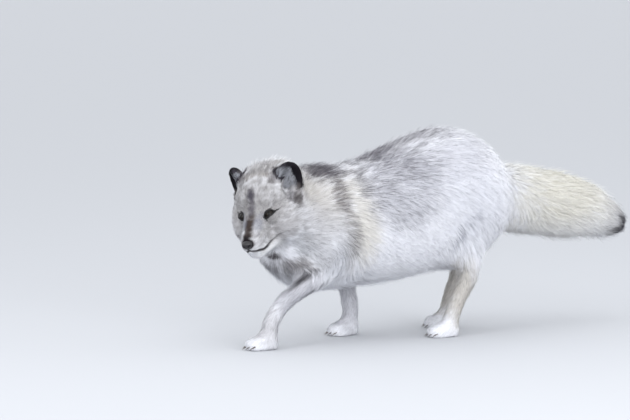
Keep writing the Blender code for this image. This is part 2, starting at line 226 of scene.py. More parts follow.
# head places are in the head's frame, mirrored
headCoat = {
    "noseBridge": ((54, 0, -8), (-0.97, 0, 0.2), 3.0, 0.9, 0.55),
    "bridge": ((32, 0, 6), (-0.9, 0, 0.42), 4.0, 1.1, 0.6),
    "muzzleSide": ((45, 15, -20), (-0.98, 0.08, -0.05), 4.0, 1.0, 0.6),
    "cheekFront": ((22, 19, -18), (-0.93, 0.3, -0.15), 6.0, 1.6, 0.7),
    "upperLip": ((38, 18, -33), (-0.96, 0.05, -0.2), 4.5, 1.1, 0.6),
    "lipRear": ((8, 24, -36), (-0.9, 0.25, -0.3), 7, 2.0, 0.7),
    "chin": ((50, 0, -49), (-0.97, 0, -0.1), 5, 1.5, 0.6),
    "jaw": ((24, 17, -50), (-0.95, 0.15, -0.2), 9, 3.0, 0.8),
    "brow": ((8, 0, 27), (-0.72, 0, 0.68), 7, 2.0, 0.7),
    "overEye": ((-4, 24, 17), (-0.8, 0.35, 0.48), 7, 2.2, 0.7),
    "innerEye": ((12, 13, 6), (-0.85, 0.1, 0.5), 4, 1.2, 0.6),
    "outerEye": ((-10, 36, 0), (-0.86, 0.5, 0.08), 9, 2.8, 0.8),
    "underEye": ((8, 24, -14), (-0.86, 0.42, -0.25), 6, 1.8, 0.7),
    "forehead": ((-20, 8, 43), (-0.92, 0.12, 0.35), 11, 3.6, 0.9),
    "crown": ((-56, 0, 51), (-0.95, 0, 0.3), 20, 7.5, 1.2),
    "foreEar": ((-28, 30, 38), (-0.7, 0.1, 0.68), 12, 3.8, 0.9),
    "earEdge": ((-32, 42, 27), (-0.5, 0.35, 0.75), 6, 1.8, 0.7),
    "earEdgeLow": ((-38, 54, 14), (-0.6, 0.4, 0.6), 6, 2.0, 0.7),
    "earEdgeRear": ((-66, 62, 20), (-0.9, 0.2, 0.3), 14, 4.0, 0.9),
    "temple": ((-38, 50, 8), (-0.88, 0.42, 0.0), 18, 6, 1.1),
    "cheek": ((-30, 62, -26), (-0.82, 0.45, -0.35), 26, 8.5, 1.3),
    "cheekLow": ((-28, 45, -58), (-0.8, 0.3, -0.5), 26, 8.5, 1.3),
    "mouthCorner": ((-10, 34, -44), (-0.85, 0.35, -0.35), 12, 4, 0.9),
    "throat": ((-30, 0, -70), (-0.95, 0, -0.3), 26, 8.5, 1.3),
    "throatFront": ((5, 8, -61), (-0.97, 0.05, -0.2), 13, 4.5, 1.0),
    "behindEar": ((-82, 40, 12), (-0.95, 0.15, -0.2), 28, 10, 1.4),
    "nape": ((-92, 0, 40), (-1, 0, -0.1), 28, 10, 1.4),
    "neckCheek": ((-75, 60, -30), (-0.9, 0.2, -0.35), 32, 10.5, 1.4),
}
pawPlaces = {  # round each paw's middle: how far back and how high in mm, flow, then the same three sizes
    "top": ((0, 20), (-0.85, 0, -0.5), 7, 2.3, 0.85),
    "toes": ((-22, 10), (-0.85, 0, -0.5), 6, 1.8, 0.8),
    "heel": ((24, 12), (-0.3, 0, -0.95), 8, 2.4, 0.85),
}
readSettings = dict(soft=0.006, batch=40000)  # metres over which neighbouring places blend, points at a time


def coatTable():
    places, flows, values = [], [], []

    def add(place, flow, sizes, head):
        p, f = mm(*place), np.array(flow, float)
        if head:
            p, f = fromHead(p), headTurnArray @ f
        else:
            p = p + bodyShift
        places.append(p)
        flows.append(f / np.linalg.norm(f))
        values.append(sizes)

    for table, head, mirror in ((bodyCoat, False, True), (legCoat, False, False), (headCoat, True, True)):
        for place, flow, *sizes in table.values():
            sides = (1, -1) if mirror and abs(place[1]) > 1 else (1,)
            for side in sides:
                add((place[0], side * place[1], place[2]), (flow[0], side * flow[1], flow[2]), sizes, head)
    for x, y in pawCoat.values():
        for (back, height), flow, *sizes in pawPlaces.values():
            add((x + back, y, height), flow, sizes, False)
    return np.array(places), np.array(flows), np.array(values, float)


coatPlaces, coatFlows, coatSizes = coatTable()


def readCoat(points):  # flow, length, depth, width at each point, blended from the nearest places
    flow = np.empty((len(points), 3))
    sizes = np.empty((len(points), 3))
    for start in range(0, len(points), readSettings["batch"]):
        part = slice(start, start + readSettings["batch"])
        away = ((points[part][:, None, :] - coatPlaces[None]) ** 2).sum(2)
        weight = 1 / (away + readSettings["soft"] ** 2) ** 2
        weight /= weight.sum(1, keepdims=True)
        flow[part] = weight @ coatFlows
        sizes[part] = weight @ coatSizes
    return unit(flow), sizes * 0.001


# skin: copies of all the nodes grown into one surface, then drawn in by the depth of the coat
skinSettings = dict(overlap=0.0005, voxel=0.0036, smooth=4, faceFrom=-0.04, faceSmooth=3, creaseRounds=70,
                    creaseBehind=(-48, -72), creaseAbove=(0.03, 0.06), earDepth=0.0017, soleFrom=0.0004,
                    soleHeight=0.008, soleShare=0.15, shade=0.82)
fineAreas = (  # where the skin is divided finer: head frame's least x and z, greatest y, and greatest body x
    dict(ahead=-0.034, above=-0.075, beside=1.0, before=-0.2),
    dict(ahead=-0.006, above=-0.058, beside=0.04, before=-0.24),
)
earNames = ("ear_left", "ear_right")
earFade = dict(full=0.0022, none=0.0055, margin=0.008)
fleshNodes = sorted(n for n in nodes if not n.startswith(("eye", "nose")))


def grownCopy(name):
    piece = nodes[name].copy()
    piece.data = nodes[name].data.copy()
    piece.name = "grown_" + name
    piece.parent = None
    bpy.context.scene.collection.objects.link(piece)
    pick(piece)
    bpy.ops.object.mode_set(mode="EDIT")
    bpy.ops.mesh.select_all(action="SELECT")
    bpy.ops.mesh.remove_doubles(threshold=0.00001)
    bpy.ops.object.mode_set(mode="OBJECT")
    applyModifier(piece, "DISPLACE", strength=skinSettings["overlap"], mid_level=0.0)
    return piece


earTrees = [treeOf(nodes[name].data) for name in earNames]


def earShare(points):  # 1 on the ears, falling to 0 a few millimetres away
    away = np.full(len(points), 1.0)
    for earTree, name in zip(earTrees, earNames):
        low, high = (np.array(c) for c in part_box(name))
        near = np.all((points > low - earFade["margin"]) & (points < high + earFade["margin"]), axis=1)
        for i in np.nonzero(near)[0]:
            away[i] = min(away[i], earTree.find_nearest(Vector(points[i]))[3])
    return 1 - step(earFade["full"], earFade["none"], away)


def subdivideWhere(piece, test):  # halves the edges of the faces whose middle passes the test
    pick(piece)
    mesh = piece.data
    chosen = test(readRows(mesh.polygons, "center", 3).astype(float))
    bpy.ops.object.mode_set(mode="EDIT")
    bpy.ops.mesh.select_mode(type="FACE")
    bpy.ops.mesh.select_all(action="DESELECT")
    bpy.ops.object.mode_set(mode="OBJECT")
    mesh.polygons.foreach_set("select", chosen)
    bpy.ops.object.mode_set(mode="EDIT")
    bpy.ops.mesh.subdivide(number_cuts=1)
    bpy.ops.object.mode_set(mode="OBJECT")


def inArea(points, ahead, above, beside, before):
    head = toHead(points)
    inHead = (head[:, 0] > ahead) & (head[:, 2] > above) & (np.abs(head[:, 1]) < beside)
    return inHead & (toBody(points)[:, 0] < before)


skin = joined([grownCopy(n) for n in nodes], "skin")
applyModifier(skin, "REMESH", mode="VOXEL", voxel_size=skinSettings["voxel"])
applyModifier(skin, "SMOOTH", factor=0.5, iterations=skinSettings["smooth"])
skin.data.materials.clear()
print("skin grown together", len(skin.data.vertices))

for area in fineAreas:
    subdivideWhere(skin, lambda middles: inArea(middles, **area))
points = coords(skin.data)
faceGroup = skin.vertex_groups.new(name="face")
onFace = np.nonzero(toHead(points)[:, 0] > skinSettings["faceFrom"])[0]
faceGroup.add([int(i) for i in onFace], 1.0, "REPLACE")
applyModifier(skin, "SMOOTH", factor=0.5, iterations=skinSettings["faceSmooth"], vertex_group="face")


def fillCreases(piece, rounds, share):  # raises only the hollows where two parts meet
    mesh = piece.data
    first, second = readRows(mesh.edges, "vertices", 2, np.int32).T
    points, normals = coords(mesh), normalsOf(mesh)
    count = np.bincount(np.concatenate((first, second)), minlength=len(points))[:, None]
    total = np.zeros_like(points)
    for sweep in range(rounds):
        for axis in range(3):
            ahead = np.bincount(first, points[second, axis], len(points))
            total[:, axis] = ahead + np.bincount(second, points[first, axis], len(points))
        push = ((total / count - points) * normals).sum(1)
        points += normals * (np.maximum(push, 0) * share)[:, None]
    setCoords(mesh, points)


points = coords(skin.data)
creased = step(*skinSettings["creaseBehind"], toHead(points)[:, 0] * 1000)
creased = creased * step(*skinSettings["creaseAbove"], points[:, 2]) * (1 - earShare(points))
fillCreases(skin, skinSettings["creaseRounds"], creased)

# the ear opening runs down into the head in front of each ear
bowlSettings = dict(centre=(-0.045, 0.049, 0.021), facing=(0.74, 0.62, 0.26), tall=(-0.35, 0.0, 1.0),
                    across=0.0155, up=0.0215, depth=0.0095, roundness=0.7, ahead=0.02,
                    behind=(-0.020, -0.016), edge=(0.8, 1.08))


def sideSigns(head):  # turns places on the head's right side into places on its left
    return np.where(head[:, 1:2] < 0, (1, -1, 1), (1, 1, 1))


def bowlRead(points):  # nearer ear: 0 at the opening's middle to 1 at its edge, and height along its facing
    head = toHead(points)
    facing, tall = unit(np.array(bowlSettings["facing"])), bowlSettings["tall"]
    up = unit(np.array(tall) - facing * (facing @ tall))
    q = head * sideSigns(head) - np.array(bowlSettings["centre"])
    away = np.hypot(q @ np.cross(facing, up) / bowlSettings["across"], q @ up / bowlSettings["up"])
    return away, q @ facing, facing


def bowlShare(points):
    away, out, facing = bowlRead(points)
    inside = 1 - step(*bowlSettings["edge"], away)
    return inside * step(*bowlSettings["behind"], out) * (out < bowlSettings["ahead"])


def earArea(points):
    return np.maximum(earShare(points), bowlShare(points))


points = coords(skin.data)
away, out, facing = bowlRead(points)
bottom = -bowlSettings["depth"] * np.clip(1 - away ** 2, 0, 1) ** bowlSettings["roundness"]
push = np.where((away < 1) & (out > bottom) & (out < bowlSettings["ahead"]), bottom - out, 0)
head = toHead(points)
setCoords(skin.data, fromHead(head + facing * sideSigns(head) * push[:, None]))
applyModifier(skin, "SMOOTH", factor=0.5, iterations=2, vertex_group="face")

points = coords(skin.data)
onEar = earArea(points)
depth = readCoat(points)[1][:, 1] * (1 - onEar) + skinSettings["earDepth"] * onEar
sole = skinSettings["soleShare"]
depth *= step(skinSettings["soleFrom"], skinSettings["soleHeight"], points[:, 2]) * (1 - sole) + sole
setCoords(skin.data, points - normalsOf(skin.data) * depth[:, None])
applyModifier(skin, "SMOOTH", factor=0.5, iterations=2)
print("skin drawn in", len(skin.data.vertices))

# lids: an almond opening over each eyeball, its outer corner higher
eyeSettings = dict(radius=0.0086, gaze=(0.74, 0.47, 0.43), across=(-0.536, 0.836, 0.12), inner=-0.0096,
                   outer=0.0088, innerDrop=-0.0012, outerRise=0.0014, upper=0.0052, lower=0.0014,
                   bulge=0.0005, bulgeFrom=0.72)
lidSettings = dict(thick=0.0009, blend=0.0016, pocket=0.0022, rim=0.0017, fine=0.0155, reach=0.0165,
                   behind=-0.004, ahead=0.02, snap=0.00022, open=0.00025, knee=0.7, slope=0.85,
                   fade=(0.011, 0.0155), foldDepth=0.0007, foldAbove=0.0026, foldWidth=0.0011,
                   foldFade=(0.008, 0.0125))


class Eye:
    def __init__(self, side):
        self.side = 1 if side == "left" else -1
        low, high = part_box("eye_" + side)
        self.centre = toHead(np.array((low + high) / 2)[None])[0]
        flip = np.array((1, self.side, 1))
        self.gaze = unit(np.array(eyeSettings["gaze"]) * flip)
        across = np.array(eyeSettings["across"]) * flip
        self.across = unit(across - self.gaze * (across @ self.gaze))
        up = np.cross(self.gaze, self.across)
        self.up = up if up[2] > 0 else -up

    def read(self, headPoints):  # along the gaze, across towards the outer corner, and up
        q = headPoints - self.centre
        return q @ self.gaze, q @ self.across, q @ self.up

    def lids(self, u):  # heights of upper and lower lid margins, either side of a line between the corners
        s = eyeSettings
        middle, half = (s["outer"] + s["inner"]) / 2, (s["outer"] - s["inner"]) / 2
        t = np.clip((u - middle) / half, -1, 1)
        opened = np.clip(1 - t * t, 0, 1)
        line = s["innerDrop"] + (s["outerRise"] - s["innerDrop"]) * (t + 1) / 2
        return line + s["upper"] * opened ** 0.5, line - s["lower"] * opened ** 0.8

    def inside(self, u, v):  # distance inside the opening, negative outside
        upper, lower = self.lids(u)
        s = eyeSettings
        ends = np.minimum(u - s["inner"], s["outer"] - u)
        return np.minimum(np.minimum(upper - v, v - lower), ends)

    def world(self, a, u, v):
        offset = np.outer(a, self.gaze) + np.outer(u, self.across) + np.outer(v, self.up)
        return fromHead(self.centre + offset)


eyes = [Eye("left"), Eye("right")]


def roundEyes(middles):
    head = toHead(middles)
    near = [lengthOf(head - eye.centre) < lidSettings["fine"] for eye in eyes]
    before = [eye.read(head)[0] > 0 for eye in eyes]
    return np.any(near, axis=0) & np.any(before, axis=0)


def shapeLids(points, eye):
    s = lidSettings
    a, u, v = eye.read(toHead(points))
    i = np.nonzero((np.hypot(u, v) < s["reach"]) & (a > s["behind"]) & (a < s["ahead"]))[0]
    a, u, v = a[i], u[i], v[i]
    edge = eye.inside(u, v)
    close = np.abs(edge) < s["snap"]
    upper, lower = eye.lids(u)
    v = np.where(close, np.where(upper - v < v - lower, upper, lower), v)
    edge = np.where(close, 0.0, edge)
    ball = eyeSettings["radius"]
    r2 = u * u + v * v
    r = np.sqrt(r2)
    cover = ball + s["thick"]
    knee = cover * s["knee"]  # past here the lid runs straight down to the face
    lid = np.sqrt(np.maximum(cover ** 2 - np.minimum(r2, knee ** 2), 0))
    lid = lid - np.maximum(r - knee, 0) * s["slope"]
    fold = s["foldDepth"] * np.exp(-((v - upper - s["foldAbove"]) / s["foldWidth"]) ** 2)
    raised = (a + lid + np.sqrt((a - lid) ** 2 + s["blend"] ** 2)) / 2 - a
    out = a + raised * (1 - step(*s["fade"], r)) - fold * (1 - step(*s["foldFade"], r))
    pit = np.sqrt(np.maximum(ball ** 2 - r2, 0)) - s["pocket"]
    a = np.where(edge > s["open"], np.minimum(a, pit), out)
    points[i] = eye.world(a, u, v)


subdivideWhere(skin, roundEyes)
points = coords(skin.data)
for eye in eyes:
    shapeLids(points, eye)
setCoords(skin.data, points)
print("lids shaped", len(skin.data.vertices))

# mouth: a shallow groove along the lips, from under the nose to the corners below the eyes
mouthSettings = dict(depth=0.0016, width=0.0013, places=60, low=(-0.03, -0.05, -0.06),
                     high=(0.075, 0.05, -0.02))
mouthLine = mm((60, 0, -27), (59, 5, -30), (54, 10, -33), (43, 14.5, -38), (33, 17, -38.5),
               (20, 20, -37), (10, 23, -36), (7, 29, -33.5), (5, 36, -31.5), (2, 43, -32))


def alongLine(line, count):
    steps = np.linspace(0, len(line) - 1.001, count)
    low = steps.astype(int)
    part = (steps - low)[:, None]
    return line[low] * (1 - part) + line[low + 1] * part


skinTree = treeOf(skin.data, triangulate=True)
lips = []
for side in (1, -1):
    for place in fromHead(alongLine(mouthLine, mouthSettings["places"]) * np.array((1, side, 1))):
        lips.append(skinTree.find_nearest(Vector(place))[0])
lipTree = KDTree(len(lips))
for i, place in enumerate(lips):
    lipTree.insert(place, i)
lipTree.balance()


def lipDistance(points):
    away = np.full(len(points), 1.0)
    head = toHead(points)
    near = np.all((head > mouthSettings["low"]) & (head < mouthSettings["high"]), axis=1)
    for i in np.nonzero(near)[0]:
        away[i] = lipTree.find(Vector(points[i]))[2]
    return away


# nose: its sizes stand here, because the skin is pressed back to make a bed for the pad
noseSettings = dict(centre=(0.0602, 0, -0.0168), radii=(0.0070, 0.0088, 0.0067), bed=0.0045, bedSize=1.12,
                    nostrilInner=(0.0036, -0.0012), nostrilOuter=(0.0066, 0.0008), nostrilSize=0.0017,
                    nostrilTaper=0.45, nostrilEdge=(0.45, 1.15), pit=0.0032, pitAhead=(0, 0.0015),
                    grooveDepth=0.0009, grooveWidth=0.0008, grooveAhead=(0.001, 0.005),
                    grooveUnder=(0.002, -0.003), flatter=0.0008, flatterAbove=(0.003, 0.0067),
                    pebble=0.0009, pebbleDepth=0.00018, shade="#141216")


def noseDistance(head, size=1.0):  # 1 on the pad's outline, made larger by size
    return lengthOf((head - np.array(noseSettings["centre"])) / (np.array(noseSettings["radii"]) * size))


head = toHead(coords(skin.data))
head[:, 0] -= noseSettings["bed"] * step(1.0, 0.8, noseDistance(head, noseSettings["bedSize"]))
setCoords(skin.data, fromHead(head))

points = coords(skin.data)
groove = mouthSettings["depth"] * np.exp(-(lipDistance(points) / mouthSettings["width"]) ** 2)
points -= normalsOf(skin.data) * groove[:, None]
points[:, 2] = np.maximum(points[:, 2], 0)  # soles flat on the floor
setCoords(skin.data, points)
print("mouth cut")

# the skin's own unwrap, which the coat's patches follow
pick(skin)
bpy.ops.object.mode_set(mode="EDIT")
bpy.ops.mesh.select_mode(type="FACE")
bpy.ops.mesh.select_all(action="SELECT")
bpy.ops.mesh.quads_convert_to_tris()
bpy.ops.uv.smart_project(angle_limit=math.radians(66), island_margin=0.002)
bpy.ops.object.mode_set(mode="OBJECT")
skin.data.uv_layers.active.name = "skinUnwrap"
bpy.ops.object.shade_smooth()
print("skin unwrapped", len(skin.data.polygons))

# markings, and a few patches of painted light and shade: soft patches, each a place and radii in mm, colour,
# strength and the share of dark-tipped hairs
bodyMarks = {  # on both sides
    "collar": ((-212, 60, 220), (66, 70, 84), "#bfbbb4", 0.85, 0.06),
    "creamBand": ((-116, 78, 200), (29, 60, 78), "#d3cfc4", 0.68, 0.03),
    "creamHigh": ((-138, 66, 254), (22, 26, 30), "#c6c2bb", 0.6, 0.12),
    "saddleWide": ((-38, 88, 246), (86, 46, 54), "#b9bac2", 0.55, 0.2),
    "neckStripe": ((-152, 66, 235), (14, 50, 48), "#827c79", 0.7, 0.42),
    "neckStripeLow": ((-138, 81, 164), (16, 42, 46), "#989594", 0.65, 0.4),
    "withersSide": ((-118, 46, 274), (30, 24, 20), "#b3b0b2", 0.6, 0.35),
    "rumpTop": ((104, 0, 316), (64, 90, 44), "#d6d7dc", 0.7, 0.08),
    "flankHigh": ((-4, 86, 262), (48, 40, 30), "#b6b7bf", 0.4, 0.22),
    "rumpHigh": ((60, 72, 286), (64, 44, 42), "#cdced5", 0.7, 0.09),
    "saddleFront": ((-108, 70, 264), (19, 36, 34), "#88888d", 0.62, 0.5),
    "nape": ((-165, 30, 272), (42, 42, 19), "#565158", 0.9, 0.6),
    "withers": ((-118, 0, 290), (52, 50, 17), "#75727a", 0.88, 0.62),
    "mantle": ((-62, 0, 304), (66, 70, 38), "#7c7a83", 0.87, 0.6),
    "mantleRear": ((16, 0, 328), (66, 56, 28), "#918f98", 0.65, 0.5),
    "mantleEnd": ((74, 0, 338), (46, 34, 12), "#9a99a1", 0.6, 0.45),
    "saddle": ((-80, 84, 248), (34, 46, 44), "#afafb6", 0.55, 0.35),
    "saddleHigh": ((-40, 60, 284), (74, 42, 34), "#a2a2ab", 0.6, 0.4),
    "saddleLow": ((-50, 92, 212), (56, 40, 40), "#bbbcc3", 0.5, 0.24),
    # painted shade: a soft grey patch over the haunch
    "thighShade": ((84, 92, 214), (62, 36, 74), "#d6d8df", 0.5, 0.05),
    "shoulder": ((-172, 80, 142), (38, 34, 38), "#babdc4", 0.6, 0.22),
    "neckLow": ((-196, 72, 168), (52, 60, 40), "#bfc0c4", 0.7, 0.18),
    "chest": ((-224, 52, 131), (24, 32, 22), "#645c58", 0.8, 0.35),
    "chestFront": ((-248, 0, 128), (34, 46, 32), "#737178", 0.68, 0.35),
    "tail": ((290, 0, 212), (128, 90, 78), "#dcd9cc", 0.85, 0.04),
    # pale underside of the tail, made paler still as painted light against the shade beneath it
    "tailUnderPaleAndLit": ((290, 0, 154), (130, 80, 32), "#f2f2f2", 0.7, 0.04),
    "tailRear": ((398, 0, 176), (30, 56, 36), "#c9c8c8", 0.45, 0.15),
    "tailTip": ((430, 4, 160), (31, 34, 23), "#36353d", 0.95, 0.8),
}
legMarks = {  # each leg on its own side, +y to the right
    "leftForearm": ((-225, -54, 88), (48, 26, 42), "#b4b4bb", 0.75, 0.12),
    "leftForefoot": ((-272, -48, 34), (36, 30, 36), "#c6c5c8", 0.7, 0.1),
    "rightForeleg": ((-75, 46, 55), (34, 30, 58), "#c3c3c9", 0.75, 0.12),
    "leftShank": ((82, -55, 66), (34, 34, 62), "#c8c3ba", 0.8, 0.15),
    "rightShank": ((130, 55, 66), (34, 34, 62), "#c8c3ba", 0.8, 0.15),
}
headMarks = {  # in the head's frame, on both sides
    "face": ((-5, 0, 0), (75, 75, 62), "#979493", 0.88, 0.22),
    "crown": ((-68, 0, 50), (36, 42, 26), "#9a9592", 0.6, 0.45),
    "crownFront": ((-38, 10, 47), (9, 22, 8), "#a8a098", 0.45, 0.3),
    "brow": ((5, 0, 34), (14, 8, 13), "#4b4752", 0.9, 0.5),
    "browLow": ((18, 0, 18), (16, 7.5, 14), "#5f5b64", 0.75, 0.4),
    "bridge": ((38, 0, 4), (26, 9, 12), "#41352f", 0.95, 0.25),
    "bridgeLow": ((50, 0, -5), (14, 9, 10), "#3b302c", 0.92, 0.2),
    "bridgeSide": ((32, 12, 0), (20, 7, 11), "#8f929e", 0.6, 0.15),
    "noseRim": ((59, 0, -12), (9, 9, 9), "#1c181b", 1.0, 0.0),
    "noseSide": ((53, 10, -20), (8, 6, 8), "#9d999d", 0.5, 0.05),
    "muzzleBand": ((49, 12, -12), (10, 4, 2), "#75727a", 0.45, 0.1),
    "innerEye": ((13, 15, 3), (7, 5, 8), "#888992", 0.45, 0.2),
    "cheek": ((-2, 38, -26), (28, 20, 20), "#b2b0b2", 0.5, 0.1),
    "cheekSpot": ((-6, 42, -12), (6, 6, 5), "#9a989c", 0.4, 0.1),
    "underEar": ((-38, 48, 3), (15, 16, 14), "#78757a", 0.6, 0.35),
    "foreEar": ((-34, 30, 41), (12, 11, 9), "#6c6567", 0.6, 0.4),
    "mouthCorner": ((-4, 43, -35), (10, 8, 5), "#7a777b", 0.45, 0.1),
    # white fur of the lower jaw, made whiter still as painted light against the shade on its downward face
    "lowerJawWhiteAndLit": ((24, 14, -50), (34, 20, 10), "#f6f6f6", 0.95, 0.0),
    "ruffLow": ((-18, 60, -74), (34, 32, 30), "#b9bbbf", 0.75, 0.2),
    "ruffRear": ((-48, 70, -48), (30, 26, 46), "#bdbcbe", 0.6, 0.15),
    "throatPatch": ((-6, 4, -79), (10, 10, 6), "#453d42", 0.9, 0.3),
    "throat": ((-6, 12, -94), (34, 32, 10), "#b3b1b6", 0.5, 0.2),
}
# painted shade in creases and behind the ruff, and dark edges, drawn along lines: places in mm, half
# thickness at each end, colour, strength
creaseShadeLines = {
    # painted shade in the fold between flank and haunch
    "leftThighFoldShade": (((90, -93, 220), (86, -90, 198), (67, -90, 181), (62, -80, 162), (54, -76, 146)),
                  4.5, 5.5, "#9093a0", 0.8),
    # painted shadow between the chest and the reaching left foreleg
    "leftForelegShadow": (((-241, -56, 92), (-224, -59, 104), (-199, -68, 123)), 4.5, 8.5, "#343036", 0.92),
}
headLines = {
    # painted shade: a darker line behind the cheek ruff, where the ruff meets the neck
    "ruff": (((-60, 58, -6), (-44, 62, -17), (-31, 64, -27), (-27, 62, -43), (-24, 59, -60), (-17, 55, -74)),
             5.0, 7.0, "#8b888a", 0.6),
    "philtrum": (((63, 0, -21), (60, 0, -29)), 1.4, 1.0, "#262023", 0.9),
    "earFoot": (((-52, 55, 13), (-45, 54, 4), (-36, 51, -8)), 6.0, 9.0, "#655f5e", 0.7),
}
eyeLines = (((8, 1.4), (17, -0.6), 1.3, 0.35), ((-8.6, -1.4), (-9.9, -7.2), 2.2, 1.1))  # from the corners, mm
coatColours = dict(snow="#eeeff3", darkTip="#46424a", paleTip="#fbfbfd", earDark="#1c191f", earBack="#8d898c",
                   earBowl="#3b383f", earFluff="#999ca3", eyeRim="#1c1a1d", lip="#262023")
markSettings = dict(edge=(0.35, 1.35), lineEdge=(0.4, 1.4), warp=0.13, warpSize=0.012, fineWarp=0.08,
                    fineSize=0.004, pepper=0.012)
headEdge = dict(behind=(-105, -80), under=(-105, -85), body=(-140, -170), ruff=(-66, -38))  # mm
earMarks = dict(facing=42, facingUp=0.2, rim=(6, 22), ripple=1.5, rippleSize=0.006, lean=0.12, bowl=(-6, 3),
                turned=(-0.1, 0.35), rearDrop=10, rearFrom=(-3, 3), foot=(-26, -14))
eyeMarks = dict(behind=-0.008, rimFade=(-0.6, 0.3), innerRim=0.5, innerReach=-0.008, lineFade=(-0.3, 0.5))
lipMarks = dict(nose=(1.12, 1.38), corner=(0, 38), edge=(0.0011, 0.0024), thin=0.8, thicker=0.6, faint=0.5,
                stronger=0.42, strength=0.95)


def markShare(p, place, radii, warp):
    away = lengthOf((p - np.array(place)) / np.array(radii)) + warp
    return 1 - step(*markSettings["edge"], away)


def lineShare(p, line, thickStart, thickEnd, warp):
    line = np.array(line, float)
    share = np.zeros(len(p))
    for k, (start, end) in enumerate(zip(line[:-1], line[1:])):
        part = np.clip((p - start) @ (end - start) / ((end - start) @ (end - start)), 0, 1)
        away = lengthOf(p - start - part[:, None] * (end - start))
        thick = thickStart + (thickEnd - thickStart) * (k + part) / (len(line) - 1)
        share = np.maximum(share, 1 - step(*markSettings["lineEdge"], away / thick + warp))
    return share


def drawLines(colour, p, lines, warp):
    for line, thickStart, thickEnd, shade, strength in lines.values():
        share = lineShare(p, line, thickStart, thickEnd, warp)
        colour[:] = blend(colour, hexColour(shade), share * strength)


def markings(points):  # colour and the share of dark-tipped hairs at each point
    s = markSettings
    body, head = toBody(points) * 1000, toHead(points) * 1000
    warp = s["warp"] * waves(points, s["warpSize"], 5) + s["fineWarp"] * waves(points, s["fineSize"], 6)
    onHead = step(*headEdge["behind"], head[:, 0]) * step(*headEdge["under"], head[:, 2])
    onHead = onHead * step(*headEdge["body"], body[:, 0])
    colour = np.tile(hexColour(coatColours["snow"]), (len(points), 1))
    pepper = np.full(len(points), s["pepper"])

    def lay(p, table, mirror, mask):
        for place, radii, shade, strength, dark in table.values():
            share = markShare(p, place, radii, warp)
            if mirror and abs(place[1]) > 0.5:
                share = np.maximum(share, markShare(p, (place[0], -place[1], place[2]), radii, warp))
            share = share * mask
            colour[:] = blend(colour, hexColour(shade), share * strength)
            pepper[:] += (dark - pepper) * share

    lay(body, bodyMarks, True, 1 - onHead * step(*headEdge["ruff"], head[:, 0]))
    lay(body, legMarks, False, np.ones(len(points)))
    lay(head, headMarks, True, onHead)
    drawLines(colour, body, creaseShadeLines, warp)
    return colour, pepper


earFrames = []
for side in (1, -1):
    low, high = (np.array(c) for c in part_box("ear_left" if side > 0 else "ear_right"))
    centre = toHead(((low + high) / 2)[None])[0]
    angle = math.radians(earMarks["facing"])
    facing = unit(np.array((math.cos(angle), side * math.sin(angle), earMarks["facingUp"])))
    earFrames.append((centre, facing))


def earRead(points, normals):  # nearer ear: mm over its middle, 1 in the bowl to -1 on its back, mm rearward
    head, headNormals = toHead(points), normals @ headTurnArray
    height, front, rear = np.empty(len(points)), np.empty(len(points)), np.empty(len(points))
    for centre, facing in earFrames:
        mine = np.sign(head[:, 1]) == np.sign(centre[1])
        q = head[mine] - centre
        along = np.cross((0, 0, 1), facing) * np.sign(centre[1])
        height[mine] = q[:, 2] * 1000
        front[mine] = headNormals[mine] @ facing
        rear[mine] = (q @ unit(along)) * 1000
    return height, front, rear


def lineGap(u, v, start, end, thickStart, thickEnd):  # distance outside a tapering line
    start, end = np.array(start, float), np.array(end, float)
    reach = end - start
    part = np.clip(((u - start[0]) * reach[0] + (v - start[1]) * reach[1]) / (reach @ reach), 0, 1)
    away = np.hypot(u - start[0] - part * reach[0], v - start[1] - part * reach[1])
    return away - (thickStart + (thickEnd - thickStart) * part)


def markEars(points, normals, onEar, colour, pepper):
    s = earMarks
    i = np.nonzero(onEar > 0.02)[0]
    height, front, rear = earRead(points[i], normals[i])
    rearward = rear + s["lean"] * height
    dark, back, bowl = (hexColour(coatColours[k]) for k in ("earDark", "earBack", "earBowl"))
    outer = blend(back, dark, step(*s["rim"], height + s["ripple"] * waves(points[i], s["rippleSize"], 8)))
    inner = blend(bowl, dark, step(*s["bowl"], rearward))
    low = s["rearDrop"] * step(*s["rearFrom"], rearward)
    foot = step(s["foot"][0] - low, s["foot"][1] - low, height)
    share = onEar[i] * foot
    colour[i] = blend(colour[i], blend(outer, inner, step(*s["turned"], front)), share)
    pepper[i] *= 1 - share


def eyeDark(head, eye):  # share of the dark rim and of the lines from the eye's corners
    s = eyeMarks
    a, u, v = eye.read(head)
    edge = eye.inside(u, v) * 1000
    rim = lidSettings["rim"] * 1000 * (1 + s["innerRim"] * step(0, s["innerReach"], u))
    share = step(s["rimFade"][0] - rim, s["rimFade"][1] - rim, edge)
    for ends in eyeLines:
        share = np.maximum(share, 1 - step(*s["lineFade"], lineGap(u * 1000, v * 1000, *ends)))
    return share * (a > s["behind"])


def fullMarkings(points, normals, onEar):
    colour, pepper = markings(points)
    if onEar.any():
        markEars(points, normals, onEar, colour, pepper)
    head = toHead(points)
    bothSides = (head * (1, 0, 1) + np.abs(head) * (0, 1, 0)) * 1000
    drawLines(colour, bothSides, headLines, markSettings["warp"] * waves(points, markSettings["warpSize"], 5))
    s = lipMarks
    for eye in eyes:
        share = eyeDark(head, eye)
        colour = blend(colour, hexColour(coatColours["eyeRim"]), share * s["strength"])
        pepper *= 1 - share
    lip = hexColour(coatColours["lip"])
    colour = blend(colour, lip, (1 - step(*s["nose"], noseDistance(head))) * s["strength"])
    front = step(*s["corner"], head[:, 0] * 1000)  # the lip's dark edge thins and pales toward the corner
    edge = 1 - step(*s["edge"], lipDistance(points) / (s["thin"] + s["thicker"] * front))
    share = edge * (s["faint"] + s["stronger"] * front)
    return blend(colour, lip, share), pepper * (1 - share)


